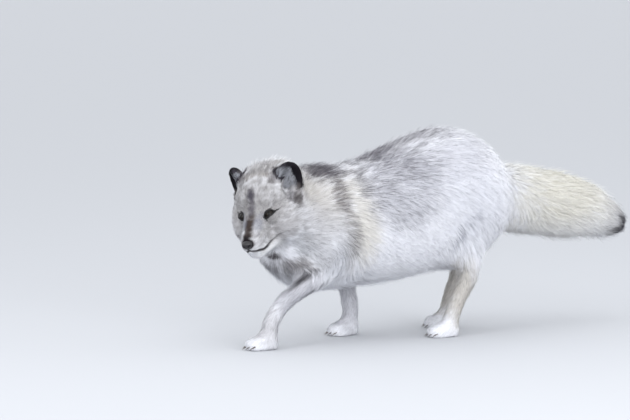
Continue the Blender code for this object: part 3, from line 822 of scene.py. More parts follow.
# coat: fine flat tufts, rooted in the skin and laid along the flow
trunkParts = ("FrontLeft", "FrontRight", "RearLeft", "RearRight")
coatPieces = {  # nodes it grows on, number of tufts, how far tufts draw together, spacing of locks in mm
    "faceCoat": (("head",), 38000, 0.12, 3.0),
    "headCoat": (("head",), 30000, 0.24, 4.5),
    "earCoat": (earNames, 10000, 0.2, 3.0),
    "neckCoat": (("neck",), 37000, 0.24, 5.0),
    **{"trunkCoat" + part: (("trunk",), 28000, 0.24, 4.0) for part in trunkParts},
    "tailCoat": (("tail",), 36000, 0.3, 6.0),
    "legCoat": (("foreleg", "hindleg", "forepaw", "hindpaw"), 27000, 0.2, 3.5),
}
areaSettings = dict(sole=0.0022, lidGap=-0.0006, lidBehind=-0.006, lidReach=0.014, lip=0.0012, noseShare=0.95,
                    noseMiddle=(60, 0, -17), noseRadii=(7.2, 9.2, 7.2), faceFrom=-0.024, faceAbove=-0.068,
                    trunkMiddle=0.03)
tuftSettings = dict(bury=0.0004, clear=0.0004, ringWidth=(0.75, 1.0, 0.7), widthShare=0.72,
                    longNarrower=0.2, longFrom=(0.010, 0.030), crowding=0.6, length=(0.7, 1.2),
                    width=(0.75, 1.2), patch=0.0028, lean=0.5, roll=0.45, stray=0.13, swirl=0.11,
                    swirlSize=0.014, strays=0.15, strayFrom=0.010, strayRise=(1.2, 1.7), strayWidth=0.7)
riseSettings = dict(least=0.45, more=0.5, power=0.6, curve=1.8, places=(0.4, 0.75, 1.0))
# shares of a tuft's length to its middle and on to its end, how far it keeps its bend, and where rings stand
courseSettings = dict(middle=0.45, end=0.5, bend=0.6, flow=0.4, firstRing=0.88, thirdRing=0.6,
                      kinks=(0.35, 0.45))
lockSettings = dict(together=(0.4, 1.2), reach=2.5, jitter=0.001, thirdRing=0.5)
shownSettings = dict(least=0.25, more=0.4, longFrom=(0.006, 0.02))  # where along a tuft its colour is read
tailSettings = dict(inside=16, runOn=(0.045, 0.012), flow=0.8, flat=0.2, length=0.36)
earTuftSettings = dict(length=0.0065, depth=0.0017, width=0.0009, fluffLength=0.008, fluffDepth=0.0022,
                       turned=(0.15, 0.5), ahead=(4, -6), lean=0.1, under=(17, 7), over=(-28, -16), pale=0.75,
                       inner=(0.0, 0.4), up=(-0.25, 0, 1.0), across=(-0.55, 0.5, 0.35), flow=0.5,
                       bowlAcross=0.9, bowlUp=0.4)
crestSettings = dict(behind=(-20, -46), above=(26, 38), beside=(12, 24), rise=0.65, sideRise=0.8, longer=0.25)
toneSettings = dict(root=0.93, mottle=0.11, faceMottle=0.13, single=0.4, leastDark=0.3, lockDark=1.33,
                    lockPower=1.5, darkShares=(0.08, 0.6, 0.95), pale=0.3, paleFrom=(0.12, 0.5),
                    leastDip=0.55, moreDip=0.45, dipFrom=(0.05, 0.3))

skinTree = treeOf(skin.data, triangulate=True)
skinPoints, skinNormals = coords(skin.data), normalsOf(skin.data)
corners = readRows(skin.data.loops, "vertex_index", 1, np.int32).reshape(-1, 3)
unwrap = readRows(skin.data.uv_layers["skinUnwrap"].data, "uv", 2).reshape(-1, 3, 2)
cornerPoints = skinPoints[corners]
faceMiddles = cornerPoints.mean(1)
faceAcross = np.cross(cornerPoints[:, 1] - cornerPoints[:, 0], cornerPoints[:, 2] - cornerPoints[:, 0])
faceAreas = lengthOf(faceAcross) / 2

nodeNames = list(nodes)
allNodes = bmesh.new()
nodeOfFace = []
for k, name in enumerate(nodeNames):
    allNodes.from_mesh(nodes[name].data)
    nodeOfFace += [k] * (len(allNodes.faces) - len(nodeOfFace))
nodeTree = BVHTree.FromBMesh(allNodes)
allNodes.free()
faceNode = np.array([nodeOfFace[nodeTree.find_nearest(Vector(p))[2]] for p in faceMiddles])
print("skin read", len(faceMiddles))


def bareSkin(points):  # no hair in the lid openings, on the lips, under the nose pad or on the soles
    s = areaSettings
    head = toHead(points)
    bare = points[:, 2] < s["sole"]
    for eye in eyes:
        a, u, v = eye.read(head)
        bare |= (eye.inside(u, v) > s["lidGap"]) & (a > s["lidBehind"]) & (np.hypot(u, v) < s["lidReach"])
    bare |= lipDistance(points) < s["lip"]
    return bare | (lengthOf((head - mm(*s["noseMiddle"])) / mm(*s["noseRadii"])) < s["noseShare"])


def chosenFaces(name):
    s = areaSettings
    wanted = coatPieces[name][0]
    if name in ("faceCoat", "headCoat"):
        wanted += ("eye", "nose")
    chosen = np.isin(faceNode, [k for k, n in enumerate(nodeNames) if n.startswith(wanted)])
    head, body = toHead(faceMiddles), toBody(faceMiddles)
    face = (head[:, 0] > s["faceFrom"]) & (head[:, 2] > s["faceAbove"])
    bowl = bowlShare(faceMiddles) > 0.5
    if name == "faceCoat":
        chosen &= face & ~bowl
    if name == "headCoat":
        chosen &= ~face & ~bowl
    if name == "earCoat":
        chosen |= bowl
    if name.startswith("trunk"):
        chosen &= (body[:, 0] < s["trunkMiddle"]) == ("Front" in name)
        chosen &= (body[:, 1] < 0) == ("Left" in name)
    return chosen & ~bareSkin(faceMiddles)


def buildTufts(name, rings, tips, ringColours, tipColours, normals, sides, rootUv):
    # rings are left and right points at three places along each tuft
    count = len(tips)
    verts = np.empty((count, 7, 3), np.float32)
    colours = np.ones((count, 7, 4), np.float32)
    bend = np.empty((count, 7, 3), np.float32)
    uv = np.empty((count, 7, 2), np.float32)
    patch, lean = tuftSettings["patch"], tuftSettings["lean"]
    for k, ring in enumerate(rings):
        for end, (points, sign) in enumerate(zip(ring, (-1, 1))):
            verts[:, 2 * k + end] = points
            colours[:, 2 * k + end, :3] = ringColours[k]
            bend[:, 2 * k + end] = normals + sign * lean * sides
            uv[:, 2 * k + end] = rootUv + (sign * patch / 2, (k / 3 - 0.5) * patch)
    verts[:, 6], bend[:, 6] = tips, normals
    colours[:, 6, :3] = tipColours
    uv[:, 6] = rootUv + (0, patch / 2)
    uv = np.clip(uv, 0.0005, 0.9995)
    shape = np.array(((0, 1, 3), (0, 3, 2), (2, 3, 5), (2, 5, 4), (4, 5, 6)))
    index = (np.arange(count)[:, None, None] * 7 + shape[None]).reshape(-1).astype(np.int32)
    data = bpy.data.meshes.new(name)
    data.vertices.add(count * 7)
    data.vertices.foreach_set("co", verts.ravel())
    data.loops.add(len(index))
    data.loops.foreach_set("vertex_index", index)
    data.polygons.add(len(index) // 3)
    data.polygons.foreach_set("loop_start", np.arange(0, len(index), 3, dtype=np.int32))
    data.update(calc_edges=True)
    layer = data.uv_layers.new(name="OFBake")
    layer.data.foreach_set("uv", uv.reshape(-1, 2)[index].ravel())
    shade = data.color_attributes.new("coatShade", "FLOAT_COLOR", "POINT")
    shade.data.foreach_set("color", colours.ravel())
    data.polygons.foreach_set("use_smooth", np.ones(len(index) // 3, bool))
    data.normals_split_custom_set_from_vertices(unit(bend.reshape(-1, 3)))
    piece = bpy.data.objects.new(name, data)
    bpy.context.scene.collection.objects.link(piece)
    return piece


def onSurface(points):
    places, normals = np.empty_like(points), np.empty_like(points)
    for i, p in enumerate(points):
        places[i], normals[i] = skinTree.find_nearest(p)[:2]
    return places, normals


def alongSkin(flow, normals):
    return unit(flow - normals * (flow * normals).sum(1)[:, None])


def earFlow(points, normals, flow):  # on the ears the hair runs up, and in the bowl away from the front edge
    s = earTuftSettings
    height, front, rear = earRead(points, normals)
    inner = step(*s["inner"], front)[:, None]
    up = headTurnArray @ np.array(s["up"])
    out = flow * s["flow"] + up
    across = [headTurnArray @ (np.array(s["across"]) * (1, side, 1)) for side in (1, -1)]
    onLeft = (toHead(points)[:, 1] > 0)[:, None]
    bowl = np.where(onLeft, *across) * s["bowlAcross"] + up * s["bowlUp"]
    return unit(out * (1 - inner) + bowl * inner)


def earTufts(roots, normals, flow, sizes, onEar):  # short, with longer fluff over the front of the bowl
    s = earTuftSettings
    height, front, rear = earRead(roots, normals)
    fluff = step(*s["turned"], front) * step(*s["ahead"], rear + s["lean"] * height)
    fluff = fluff * step(*s["under"], height) * step(*s["over"], height)
    earSizes = np.column_stack((s["length"] + s["fluffLength"] * fluff, s["depth"] + s["fluffDepth"] * fluff,
                                np.full(len(roots), s["width"])))
    flow = unit(blend(flow, earFlow(roots, normals, flow), onEar))
    return flow, blend(sizes, earSizes, onEar), fluff


tailPoints = coords(nodes["tail"].data)
tailEndPlace = toBody(tailPoints[tailPoints[:, 0].argmax()][None])[0] - mm(tailSettings["inside"], 0, 0)


def scatterRoots(faces, draw, count):  # closer together where the tufts are small
    sizes = readCoat(faceMiddles[faces])[1]
    weight = faceAreas[faces] / (sizes[:, 0] * sizes[:, 2]) ** tuftSettings["crowding"]
    reach = np.cumsum(weight) / weight.sum()
    faces = faces[np.searchsorted(reach, draw.random(count)).clip(0, len(faces) - 1)]
    mix = draw.random((count, 2))
    over = mix.sum(1) > 1
    mix[over] = 1 - mix[over]
    mix = np.column_stack((1 - mix.sum(1), mix))
    roots = (skinPoints[corners[faces]] * mix[:, :, None]).sum(1)
    normals = unit((skinNormals[corners[faces]] * mix[:, :, None]).sum(1))
    return roots, normals, (unwrap[faces] * mix[:, :, None]).sum(1)


def drawTogether(places, leader, reach, pull):  # towards the lock's leading tuft, where it is near
    gap = places[leader] - places
    places += gap * (lengthOf(gap) < reach)[:, None] * pull


def tuftColours(name, draw, colour, pepper, leader):  # at the root, the middle, high up and the tip
    s = toneSettings
    count = len(colour)
    mottle = s["faceMottle"] if name == "faceCoat" else s["mottle"]
    lockTone = (draw.random(count)[leader] - 0.5) * mottle
    tone = (1 + draw.normal(0, s["single"] * mottle, count) + lockTone)[:, None]
    chance = draw.random(count)
    lockDark = s["leastDark"] + s["lockDark"] * draw.random(count)[leader] ** s["lockPower"]
    dark = (chance < pepper * lockDark)[:, None]
    colour = np.clip(colour * tone, 0, 1)
    dip = s["leastDip"] + s["moreDip"] * step(*s["dipFrom"], pepper)
    darkTip = blend(colour, hexColour(coatColours["darkTip"]), dip)
    paleTip = hexColour(coatColours["paleTip"])
    pale = colour + (paleTip - colour) * s["pale"] * step(*s["paleFrom"], colour.mean(1, keepdims=True))
    plain = (colour, colour * 0.5 + pale * 0.5, pale)
    tinted = [np.where(dark, colour + (darkTip - colour) * share, other)
              for share, other in zip(s["darkShares"], plain)]
    return [colour * s["root"], *tinted]


def growCoat(name):
    count, together, lockSpacing = coatPieces[name][1:]
    s = tuftSettings
    draw = np.random.default_rng([ord(c) for c in name])
    count = count
    roots, normals, rootUv = scatterRoots(np.nonzero(chosenFaces(name))[0], draw, count)

    flow, sizes = readCoat(roots)
    onEar = earArea(roots) if name in ("earCoat", "headCoat", "faceCoat") else np.zeros(count)
    if name == "earCoat":
        flow, sizes, fluff = earTufts(roots, normals, flow, sizes, onEar)
    swirl = s["swirl"] * waves(roots, s["swirlSize"], 3) + draw.normal(0, s["stray"], count)
    flat = alongSkin(flow, normals)
    side = np.cross(normals, flat)
    flat = unit(flat * np.cos(swirl)[:, None] + side * np.sin(swirl)[:, None])

    length = sizes[:, 0] * draw.uniform(*s["length"], count)
    r = riseSettings
    rise = sizes[:, 1] * (r["least"] + r["more"] * draw.random(count) ** r["power"])
    narrow = s["widthShare"] - s["longNarrower"] * step(*s["longFrom"], sizes[:, 0])
    width = sizes[:, 2] * narrow * draw.uniform(*s["width"], count)
    if name in ("headCoat", "faceCoat"):  # the crown's hair stands up between the ears
        u = crestSettings
        head = toHead(roots) * 1000
        crest = step(*u["behind"], head[:, 0]) * step(*u["above"], head[:, 2])
        rise = rise * (1 + (u["rise"] + u["sideRise"] * step(*u["beside"], np.abs(head[:, 1]))) * crest)
        length = length * (1 + u["longer"] * crest)
    strays = (draw.random(count) < s["strays"]) & (sizes[:, 0] > s["strayFrom"])
    rise = np.where(strays, rise * draw.uniform(*s["strayRise"], count), rise)
    width = np.where(strays, width * s["strayWidth"], width)
    c = courseSettings
    middle, middleNormals = onSurface(roots + flat * (length * c["middle"])[:, None])
    carry = alongSkin(unit(flat * c["bend"] + flow * c["flow"]), middleNormals)
    end, endNormals = onSurface(middle + carry * (length * c["end"])[:, None])

    # at the end of the tail the tufts run on past the skin
    t = tailSettings
    runOn = step(*t["runOn"], lengthOf(toBody(roots) - tailEndPlace))
    straight = middle + unit(flow * t["flow"] + flat * t["flat"]) * (length * t["length"])[:, None]
    end, endNormals = blend(end, straight, runOn), unit(blend(endNormals, normals, runOn))

    lift = [rise * (1 - (1 - along) ** r["curve"]) for along in r["places"]]
    start = roots - normals * s["bury"]
    first = roots + (middle - roots) * c["firstRing"] + unit(normals + middleNormals) * lift[0][:, None]
    third = middle + (end - middle) * c["thirdRing"] + unit(middleNormals + endNormals) * lift[1][:, None]
    tips = end + endNormals * lift[2][:, None]

    lay1, lay2, lay3 = unit(first - start), unit(third - first), unit(tips - third)
    lowKink, highKink = c["kinks"]  # tufts with a sharper kink than these are left out
    kept = ((lay1 * lay2).sum(1) > lowKink) & ((lay2 * lay3).sum(1) > highKink)
    k = lockSettings
    spacing = lockSpacing * 0.001
    cells = np.floor((roots + draw.uniform(0, k["jitter"], roots.shape)) / spacing).astype(int)
    leaders, lockOf = np.unique(cells, axis=0, return_index=True, return_inverse=True)[1:]
    leader = leaders[lockOf.ravel()]
    pull = together * draw.uniform(*k["together"], count)[:, None]
    drawTogether(tips, leader, k["reach"] * spacing, pull)
    drawTogether(third, leader, k["reach"] * spacing, pull * k["thirdRing"])

    roll = draw.normal(0, s["roll"], count)[:, None]
    facing = unit(middleNormals)
    side = unit(np.cross(unit(third - start), facing))
    side = unit(side * np.cos(roll) + facing * np.sin(roll))
    rings = []
    for centre, share in zip((start, first, third), s["ringWidth"]):
        half = side * (width * share / 2)[:, None]
        rings.append(((centre - half)[kept], (centre + half)[kept]))

    long = step(*shownSettings["longFrom"], sizes[:, 0])
    shown = blend(roots, end, shownSettings["least"] + shownSettings["more"] * long)
    colour, pepper = fullMarkings(shown, normals, onEar)
    if name == "earCoat":
        pale = fluff * onEar * (draw.random(count) < earTuftSettings["pale"])
        colour = blend(colour, hexColour(coatColours["earFluff"]), pale)
    *ringColours, tipColours = [shade[kept] for shade in tuftColours(name, draw, colour, pepper, leader)]
    piece = buildTufts(name, rings, tips[kept], ringColours, tipColours, unit(normals + endNormals)[kept],
                       side[kept], rootUv[kept])
    points = coords(piece.data)
    if points[:, 2].min() < s["clear"]:
        points[:, 2] = np.maximum(points[:, 2], s["clear"])
        setCoords(piece.data, points)
    print(name, int(kept.sum()), "of", count)
    return piece


coats = [growCoat(name) for name in coatPieces]


def addNode(tree, kind, settings, **links):  # settings are sockets or properties, links socket=(node, output)
    node = tree.nodes.new(kind)
    for key, value in settings.items():
        if isinstance(key, int) or key in node.inputs:
            node.inputs[key].default_value = value
        else:
            setattr(node, key, value)
    for socket, (source, output) in links.items():
        place = int(socket[1:]) if socket[0] == "i" and socket[1:].isdigit() else socket.replace("_", " ")
        tree.links.new(source.outputs[output], node.inputs[place])
    return node


def newMaterial(name):
    material = bpy.data.materials.new(name)
    material.use_nodes = True
    material.node_tree.nodes.clear()
    return material, material.node_tree


def rgba(text):
    return (*hexColour(text), 1.0)


# winter fur: hollow white hairs that scatter light, so it looks soft and even, with hardly any gloss
def winterFur():
    material, tree = newMaterial("winterFur")
    shade = addNode(tree, "ShaderNodeAttribute", dict(attribute_name="coatShade"))
    hair = addNode(tree, "ShaderNodeBsdfPrincipled",
                   {"Roughness": 0.7, "Specular IOR Level": 0.1, "IOR": 1.55, "Sheen Weight": 0.03,
                    "Sheen Roughness": 0.5}, Base_Color=(shade, "Color"))
    through = addNode(tree, "ShaderNodeBsdfTranslucent", {}, Color=(shade, "Color"))
    mixed = addNode(tree, "ShaderNodeMixShader", {0: 0.25}, i1=(hair, 0), i2=(through, 0))
    addNode(tree, "ShaderNodeOutputMaterial", {}, Surface=(mixed, 0))
    return material


# underfur on skin: the dense short wool below the guard hairs, matt, with a nap of about 1.6 mm, coarser
# than the real wool so that it shows
underfurSettings = dict(nap=0.0016, napDepth=0.0006)


def underfur():
    material, tree = newMaterial("underfur")
    shade = addNode(tree, "ShaderNodeAttribute", dict(attribute_name="coatShade"))
    place = addNode(tree, "ShaderNodeTexCoord", {})
    nap = addNode(tree, "ShaderNodeTexNoise", {"Scale": 1 / underfurSettings["nap"], "Detail": 3.0,
                                               "Roughness": 0.6}, Vector=(place, "Object"))
    bump = addNode(tree, "ShaderNodeBump", {"Strength": 0.5, "Distance": underfurSettings["napDepth"]},
                   Height=(nap, 0))
    wool = addNode(tree, "ShaderNodeBsdfPrincipled", {"Roughness": 0.85, "Specular IOR Level": 0.12},
                   Base_Color=(shade, "Color"), Normal=(bump, 0))
    addNode(tree, "ShaderNodeOutputMaterial", {}, Surface=(wool, 0))
    return material


furMaterial = winterFur()
points = coords(skin.data)
skinColour = fullMarkings(points, normalsOf(skin.data), earArea(points))[0]
skinShade = np.ones((len(skinColour), 4), np.float32)
skinShade[:, :3] = skinColour * skinSettings["shade"]
shadeLayer = skin.data.color_attributes.new("coatShade", "FLOAT_COLOR", "POINT")
shadeLayer.data.foreach_set("color", skinShade.ravel())
skin.data.materials.append(underfur())
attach(skin, "root")
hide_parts(*fleshNodes)
for piece in coats:
    piece.data.materials.append(furMaterial)
    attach(piece, "root")
    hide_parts(*[n for n in fleshNodes if n.startswith(coatPieces[piece.name][0])])
print("skin and coat dressed")

# eyes: a dark hazel iris round an upright oval pupil, under a wet clear cornea
irisSettings = dict(iris="#1e1914", irisInner="#110f0c", ring="#0d0a09", pupil="#020202", white="#1c1817",
                    pupilRadius=0.0027, pupilNarrow=1.4, raised=0.0016, fibre=0.0007)
irisStops = ((0.0, "irisInner"), (0.32, "iris"), (0.56, "iris"), (0.68, "ring"), (1.0, "white"))


def eyeMaterial(eye, name):
    s = irisSettings
    material, tree = newMaterial(name)
    centre = fromHead(eye.centre[None])[0]
    ways = (eye.across, eye.up, np.cross(eye.across, eye.up))
    axes = Matrix([headTurnArray @ way for way in ways]).transposed()
    if axes.determinant() < 0:
        axes = axes @ Matrix.Scale(-1, 3, (0, 0, 1))
    place = addNode(tree, "ShaderNodeTexCoord", {})
    middle = tuple(centre + headTurnArray @ eye.up * s["raised"])
    local = addNode(tree, "ShaderNodeMapping",
                    dict(vector_type="TEXTURE", Rotation=axes.to_euler("XYZ"), Location=middle),
                    Vector=(place, "Object"))
    lengths = []
    for squeeze in (1, s["pupilNarrow"]):  # mm from the middle along the gaze, for the iris and the pupil
        scaled = addNode(tree, "ShaderNodeVectorMath",
                         {"operation": "MULTIPLY", 1: (1000 * squeeze, 1000, 0)}, i0=(local, 0))
        lengths.append(addNode(tree, "ShaderNodeVectorMath", {"operation": "LENGTH"}, i0=(scaled, 0)))
    share = addNode(tree, "ShaderNodeMath", {"operation": "DIVIDE", 1: eyeSettings["radius"] * 1000},
                    i0=(lengths[0], "Value"))
    ring = addNode(tree, "ShaderNodeValToRGB", {}, Fac=(share, 0))
    ramp = ring.color_ramp.elements
    ramp[0].color, ramp[1].color = rgba(s[irisStops[0][1]]), rgba(s[irisStops[-1][1]])
    for at, key in irisStops[1:-1]:
        ramp.new(at).color = rgba(s[key])
    fibres = addNode(tree, "ShaderNodeTexNoise", {"Scale": 1 / s["fibre"], "Detail": 2.0}, Vector=(local, 0))
    lively = addNode(tree, "ShaderNodeMix", {"data_type": "RGBA", "blend_type": "MULTIPLY", 0: 0.35},
                     i6=(ring, 0), i7=(fibres, "Color"))
    hole = addNode(tree, "ShaderNodeMath", {"operation": "LESS_THAN", 1: s["pupilRadius"] * 1000},
                   i0=(lengths[1], "Value"))
    look = addNode(tree, "ShaderNodeMix", {"data_type": "RGBA", 7: rgba(s["pupil"])},
                   i0=(hole, 0), i6=(lively, 2))
    ball = addNode(tree, "ShaderNodeBsdfPrincipled",
                   {"Roughness": 0.3, "IOR": 1.376, "Specular IOR Level": 0.15, "Coat Weight": 0.35,
                    "Coat Roughness": 0.04, "Coat IOR": 1.376}, Base_Color=(look, 2))
    addNode(tree, "ShaderNodeOutputMaterial", {}, Surface=(ball, 0))
    return material


def makeEyeball(eye, name, node):
    centre = fromHead(eye.centre[None])[0]
    gaze = Vector(headTurnArray @ eye.gaze)
    deselectAll()
    bpy.ops.mesh.primitive_uv_sphere_add(segments=40, ring_count=24, radius=eyeSettings["radius"],
                                         location=centre, rotation=gaze.to_track_quat("Z", "Y").to_euler())
    piece = bpy.context.active_object
    piece.name = piece.data.name = name
    bpy.ops.object.transform_apply(location=True, rotation=True, scale=True)
    # the cornea bulges a little at the front
    points = coords(piece.data)
    toward = unit(points - centre) @ np.array(gaze)
    bulge = eyeSettings["bulge"] * step(eyeSettings["bulgeFrom"], 1.0, toward)
    setCoords(piece.data, points + np.array(gaze) * bulge[:, None])
    bpy.ops.object.shade_smooth()
    piece.data.materials.append(eyeMaterial(eye, name + "Look"))
    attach(piece, "root")
    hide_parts(node)


for eye, side in zip(eyes, ("left", "right")):
    makeEyeball(eye, side + "Eyeball", "eye_" + side)
print("eyes made")


# nose pad: bare leathery skin, nearly black, a little moist, with pebbles of about 0.9 mm
def noseSkin():
    material, tree = newMaterial("noseLeather")
    place = addNode(tree, "ShaderNodeTexCoord", {})
    pebbles = addNode(tree, "ShaderNodeTexVoronoi", {"Scale": 1 / noseSettings["pebble"]},
                      Vector=(place, "Object"))
    bump = addNode(tree, "ShaderNodeBump",
                   {"Strength": 0.45, "Distance": noseSettings["pebbleDepth"], "invert": True},
                   Height=(pebbles, 0))
    leather = addNode(tree, "ShaderNodeBsdfPrincipled",
                      {"Base Color": rgba(noseSettings["shade"]), "Roughness": 0.42, "IOR": 1.45,
                       "Coat Weight": 0.15, "Coat Roughness": 0.3}, Normal=(bump, 0))
    addNode(tree, "ShaderNodeOutputMaterial", {}, Surface=(leather, 0))
    return material


def makeNose():
    s = noseSettings
    deselectAll()
    bpy.ops.mesh.primitive_uv_sphere_add(segments=28, ring_count=18, radius=1.0, rotation=(0, math.pi / 2, 0))
    piece = bpy.context.active_object
    piece.name = piece.data.name = "nosePad"
    bpy.ops.object.transform_apply(location=False, rotation=True, scale=False)
    piece.scale = s["radii"]
    bpy.ops.object.transform_apply(location=False, rotation=False, scale=True)
    applyModifier(piece, "SUBSURF", levels=2, render_levels=2)
    points = coords(piece.data)
    # upper edge flatter, a groove down the middle, wings over the nostrils
    groove = s["grooveDepth"] * np.exp(-(points[:, 1] / s["grooveWidth"]) ** 2)
    points[:, 0] -= groove * step(*s["grooveAhead"], points[:, 0]) * step(*s["grooveUnder"], points[:, 2])
    points[:, 2] -= s["flatter"] * step(*s["flatterAbove"], points[:, 2])
    # each nostril is a comma that opens outward
    inner, outer = np.array(s["nostrilInner"]), np.array(s["nostrilOuter"])
    flat = np.column_stack((np.abs(points[:, 1]), points[:, 2])) - inner
    part = np.clip(flat @ (outer - inner) / ((outer - inner) @ (outer - inner)), 0, 1)
    wide = s["nostrilSize"] * (1 - s["nostrilTaper"] * part)
    away = lengthOf(flat - part[:, None] * (outer - inner)) / wide
    points[:, 0] -= s["pit"] * (1 - step(*s["nostrilEdge"], away)) * step(*s["pitAhead"], points[:, 0])
    setCoords(piece.data, fromHead(points + np.array(s["centre"])))
    bpy.ops.object.shade_smooth()
    piece.data.materials.append(noseSkin())
    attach(piece, "root")
    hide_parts("nose")


makeNose()
print("nose made")

# claws: four to a paw, dark horn, low between the toes
clawSettings = dict(length=0.010, radius=0.0014, tip=0.0002, ahead=0.026, height=0.0058, outerBack=0.0035,
                    spread=(-0.0125, -0.0044, 0.0044, 0.0125), splay=900, pitch=-103, hook=0.0030,
                    clear=0.0004, shade="#4c443e")


def clawHorn():  # keratin: smooth and dark grey-brown, with a dull shine
    material, tree = newMaterial("clawHorn")
    horn = addNode(tree, "ShaderNodeBsdfPrincipled",
                   {"Base Color": rgba(clawSettings["shade"]), "Roughness": 0.35, "IOR": 1.55})
    addNode(tree, "ShaderNodeOutputMaterial", {}, Surface=(horn, 0))
    return material


def makeClaw(x, y, across, back):
    s = clawSettings
    deselectAll()
    at = bodyShift + mm(x, y, 0) + np.array((-s["ahead"] + back, across, s["height"]))
    turned = (0, math.radians(s["pitch"]), math.radians(across * s["splay"]))
    bpy.ops.mesh.primitive_cone_add(vertices=10, radius1=s["radius"], radius2=s["tip"], depth=s["length"],
                                    location=at, rotation=turned)
    claw = bpy.context.active_object
    bpy.ops.object.transform_apply(location=True, rotation=True, scale=True)
    applyModifier(claw, "SUBSURF", subdivision_type="SIMPLE", levels=2, render_levels=2)
    points = coords(claw.data)
    reach = np.clip((at[0] + s["length"] / 2 - points[:, 0]) / s["length"], 0, 1)
    points[:, 2] = np.maximum(points[:, 2] - s["hook"] * reach ** 2, s["clear"])
    setCoords(claw.data, points)
    return claw


horn = clawHorn()
backs = (clawSettings["outerBack"], 0.0, 0.0, clawSettings["outerBack"])
for paw, (x, y) in pawCoat.items():
    claws = [makeClaw(x, y, across, back) for across, back in zip(clawSettings["spread"], backs)]
    piece = joined(claws, paw + "Claws")
    bpy.ops.object.shade_smooth_by_angle(angle=math.radians(50))
    piece.data.materials.append(horn)
    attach(piece, "root")
print("claws made")

# whiskers: stiff tapered hairs in rows along the sides of the muzzle; back and down say how each next one
# differs from the one before it, in its root and in the way it points
whiskerSettings = dict(rows=3, inRow=3, length=0.046, thick=0.00015, tipShare=0.15, shade="#a9a6aa",
                       root=(0.050, 0.014, -0.017), out=(-0.62, 0.72, 0.05), scatter=0.05, droop=0.10,
                       sunk=0.001, frontLength=0.62, longerBack=0.13, shorterDown=0.12, spread=(0.9, 1.1),
                       rootBack=(-0.0055, 0.0012, 0), rootDown=(-0.001, 0, -0.0045),
                       outBack=(-0.08, -0.05, 0), outDown=(0, 0, -0.16))


def whiskerHair():  # coarse smooth hair: slightly glossy
    material, tree = newMaterial("whiskerHair")
    hair = addNode(tree, "ShaderNodeBsdfPrincipled",
                   {"Base Color": rgba(whiskerSettings["shade"]), "Roughness": 0.4, "IOR": 1.55})
    addNode(tree, "ShaderNodeOutputMaterial", {}, Surface=(hair, 0))
    return material


def makeWhisker(side, row, k):  # rows run down the muzzle, and k counts back from its front
    s = whiskerSettings
    keys = ("root", "rootBack", "rootDown", "out", "outBack", "outDown")
    root, rootBack, rootDown, out, outBack, outDown = (np.array(s[key]) * (1, side, 1) for key in keys)
    length = s["length"] * (s["frontLength"] + s["longerBack"] * k) * (1 - s["shorterDown"] * row)
    length = length * dice.uniform(*s["spread"])
    place = skinTree.find_nearest(Vector(fromHead((root + rootBack * k + rootDown * row)[None])[0]))[0]
    out = unit(out + outBack * k + outDown * row + dice.normal(0, s["scatter"], 3))
    deselectAll()
    bpy.ops.mesh.primitive_cone_add(vertices=5, radius1=s["thick"], radius2=s["thick"] * s["tipShare"],
                                    depth=length, location=(0, 0, length / 2 - s["sunk"]))
    whisker = bpy.context.active_object
    bpy.ops.object.transform_apply(location=True, rotation=False, scale=False)
    bpy.ops.object.mode_set(mode="EDIT")
    bpy.ops.mesh.select_all(action="SELECT")
    for cut in range(3):
        bpy.ops.mesh.bisect(plane_co=(0, 0, length * (cut + 1) / 4), plane_no=(0, 0, 1))
        bpy.ops.mesh.select_all(action="SELECT")
    bpy.ops.object.mode_set(mode="OBJECT")
    points = coords(whisker.data)
    droop = np.zeros_like(points)
    droop[:, 2] = -s["droop"] * length * np.clip(points[:, 2] / length, 0, 1) ** 2
    turnTo = Vector(headTurnArray @ out).to_track_quat("Z", "X").to_matrix()
    setCoords(whisker.data, points @ np.array(turnTo).T + np.array(place) + droop)
    return whisker


rows, inRow = range(whiskerSettings["rows"]), range(whiskerSettings["inRow"])
piece = joined([makeWhisker(side, row, k) for side in (1, -1) for row in rows for k in inRow], "whiskers")
bpy.ops.object.shade_smooth()
piece.data.materials.append(whiskerHair())
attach(piece, "root")
print("whiskers made")

# floor, light and camera
stageSettings = dict(floor="#b8babe", floorSize=60.0, sky="#f3f5f8", skyStrength=1.45, backdrop="#d9dde6",
                     lamp="#fbfcff")
lamps = {  # power in watts, size in m, spread in degrees, place, and what it points at
    "softAbove": (9.0, 3.0, 180, (-0.4, -0.6, 2.6), (0, 0, 0.2)),
    "softFront": (9.4, 2.2, 90, (-1.3, -3.0, 1.45), (0, 0, 0.2)),
    "softLow": (5.2, 1.0, 90, (-0.2, -2.3, 0.62), (0, 0, 0.2)),
    "softLeft": (8.0, 1.4, 120, (-2.4, -0.7, 1.0), (-0.2, 0, 0.2)),
}


def makeFloor():  # painted board: matt and pale
    deselectAll()
    bpy.ops.mesh.primitive_plane_add(size=stageSettings["floorSize"], location=(0, 0, 0))
    floor = bpy.context.active_object
    floor.name = floor.data.name = "floor"
    bpy.ops.object.mode_set(mode="EDIT")
    bpy.ops.mesh.subdivide(number_cuts=3)
    bpy.ops.object.mode_set(mode="OBJECT")
    material, tree = newMaterial("paleBoard")
    board = addNode(tree, "ShaderNodeBsdfPrincipled",
                    {"Base Color": rgba(stageSettings["floor"]), "Roughness": 0.9, "Specular IOR Level": 0.1})
    addNode(tree, "ShaderNodeOutputMaterial", {}, Surface=(board, 0))
    floor.data.materials.append(material)


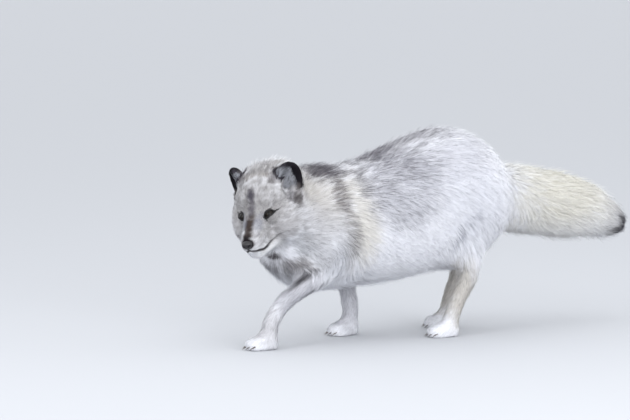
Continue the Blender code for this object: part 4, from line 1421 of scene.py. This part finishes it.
makeFloor()
for name, (energy, size, spread, place, toward) in lamps.items():
    lamp = bpy.data.lights.new(name, "AREA")
    lamp.energy, lamp.shape, lamp.size, lamp.color = energy, "DISK", size, hexColour(stageSettings["lamp"])
    lamp.spread = math.radians(spread)  # narrower keeps the lamp off the floor below it
    light = bpy.data.objects.new(name, lamp)
    light.location = place
    light.rotation_euler = (Vector(toward) - Vector(place)).to_track_quat("-Z", "Y").to_euler()
    bpy.context.scene.collection.objects.link(light)
# the sky lights the fox, and the camera sees a plain backdrop in its place
world = bpy.context.scene.world or bpy.data.worlds.new("sky")
bpy.context.scene.world = world
world.use_nodes = True
tree = world.node_tree
tree.nodes.clear()
sky = addNode(tree, "ShaderNodeBackground", {"Color": rgba(stageSettings["sky"]),
                                             "Strength": stageSettings["skyStrength"]})
seen = addNode(tree, "ShaderNodeBackground", {"Color": rgba(stageSettings["backdrop"]), "Strength": 1.0})
path = addNode(tree, "ShaderNodeLightPath", {})
mixed = addNode(tree, "ShaderNodeMixShader", {}, Fac=(path, "Is Camera Ray"), i1=(sky, 0), i2=(seen, 0))
addNode(tree, "ShaderNodeOutputWorld", {}, Surface=(mixed, 0))

# degrees round and above, metres away, right and up, lens and sensor in mm
cameraSettings = dict(turn=-30, rise=5, away=5.103, right=-0.1377, up=0.2025, lens=180, sensor=36)
around, rise = math.radians(cameraSettings["turn"]), math.radians(cameraSettings["rise"])
back = Vector((math.sin(around) * math.cos(rise), -math.cos(around) * math.cos(rise), math.sin(rise)))
right = Vector((math.cos(around), math.sin(around), 0))
target = Vector(bodyShift) + right * cameraSettings["right"] + back.cross(right) * cameraSettings["up"]
lens = bpy.data.cameras.new("camera")
lens.lens, lens.sensor_width = cameraSettings["lens"], cameraSettings["sensor"]
bpy.context.scene.view_settings.view_transform = "Standard"
camera = bpy.data.objects.new("camera", lens)
camera.location = target + back * cameraSettings["away"]
camera.rotation_euler = (-back).to_track_quat("-Z", "Y").to_euler()
bpy.context.scene.collection.objects.link(camera)
bpy.context.scene.camera = camera
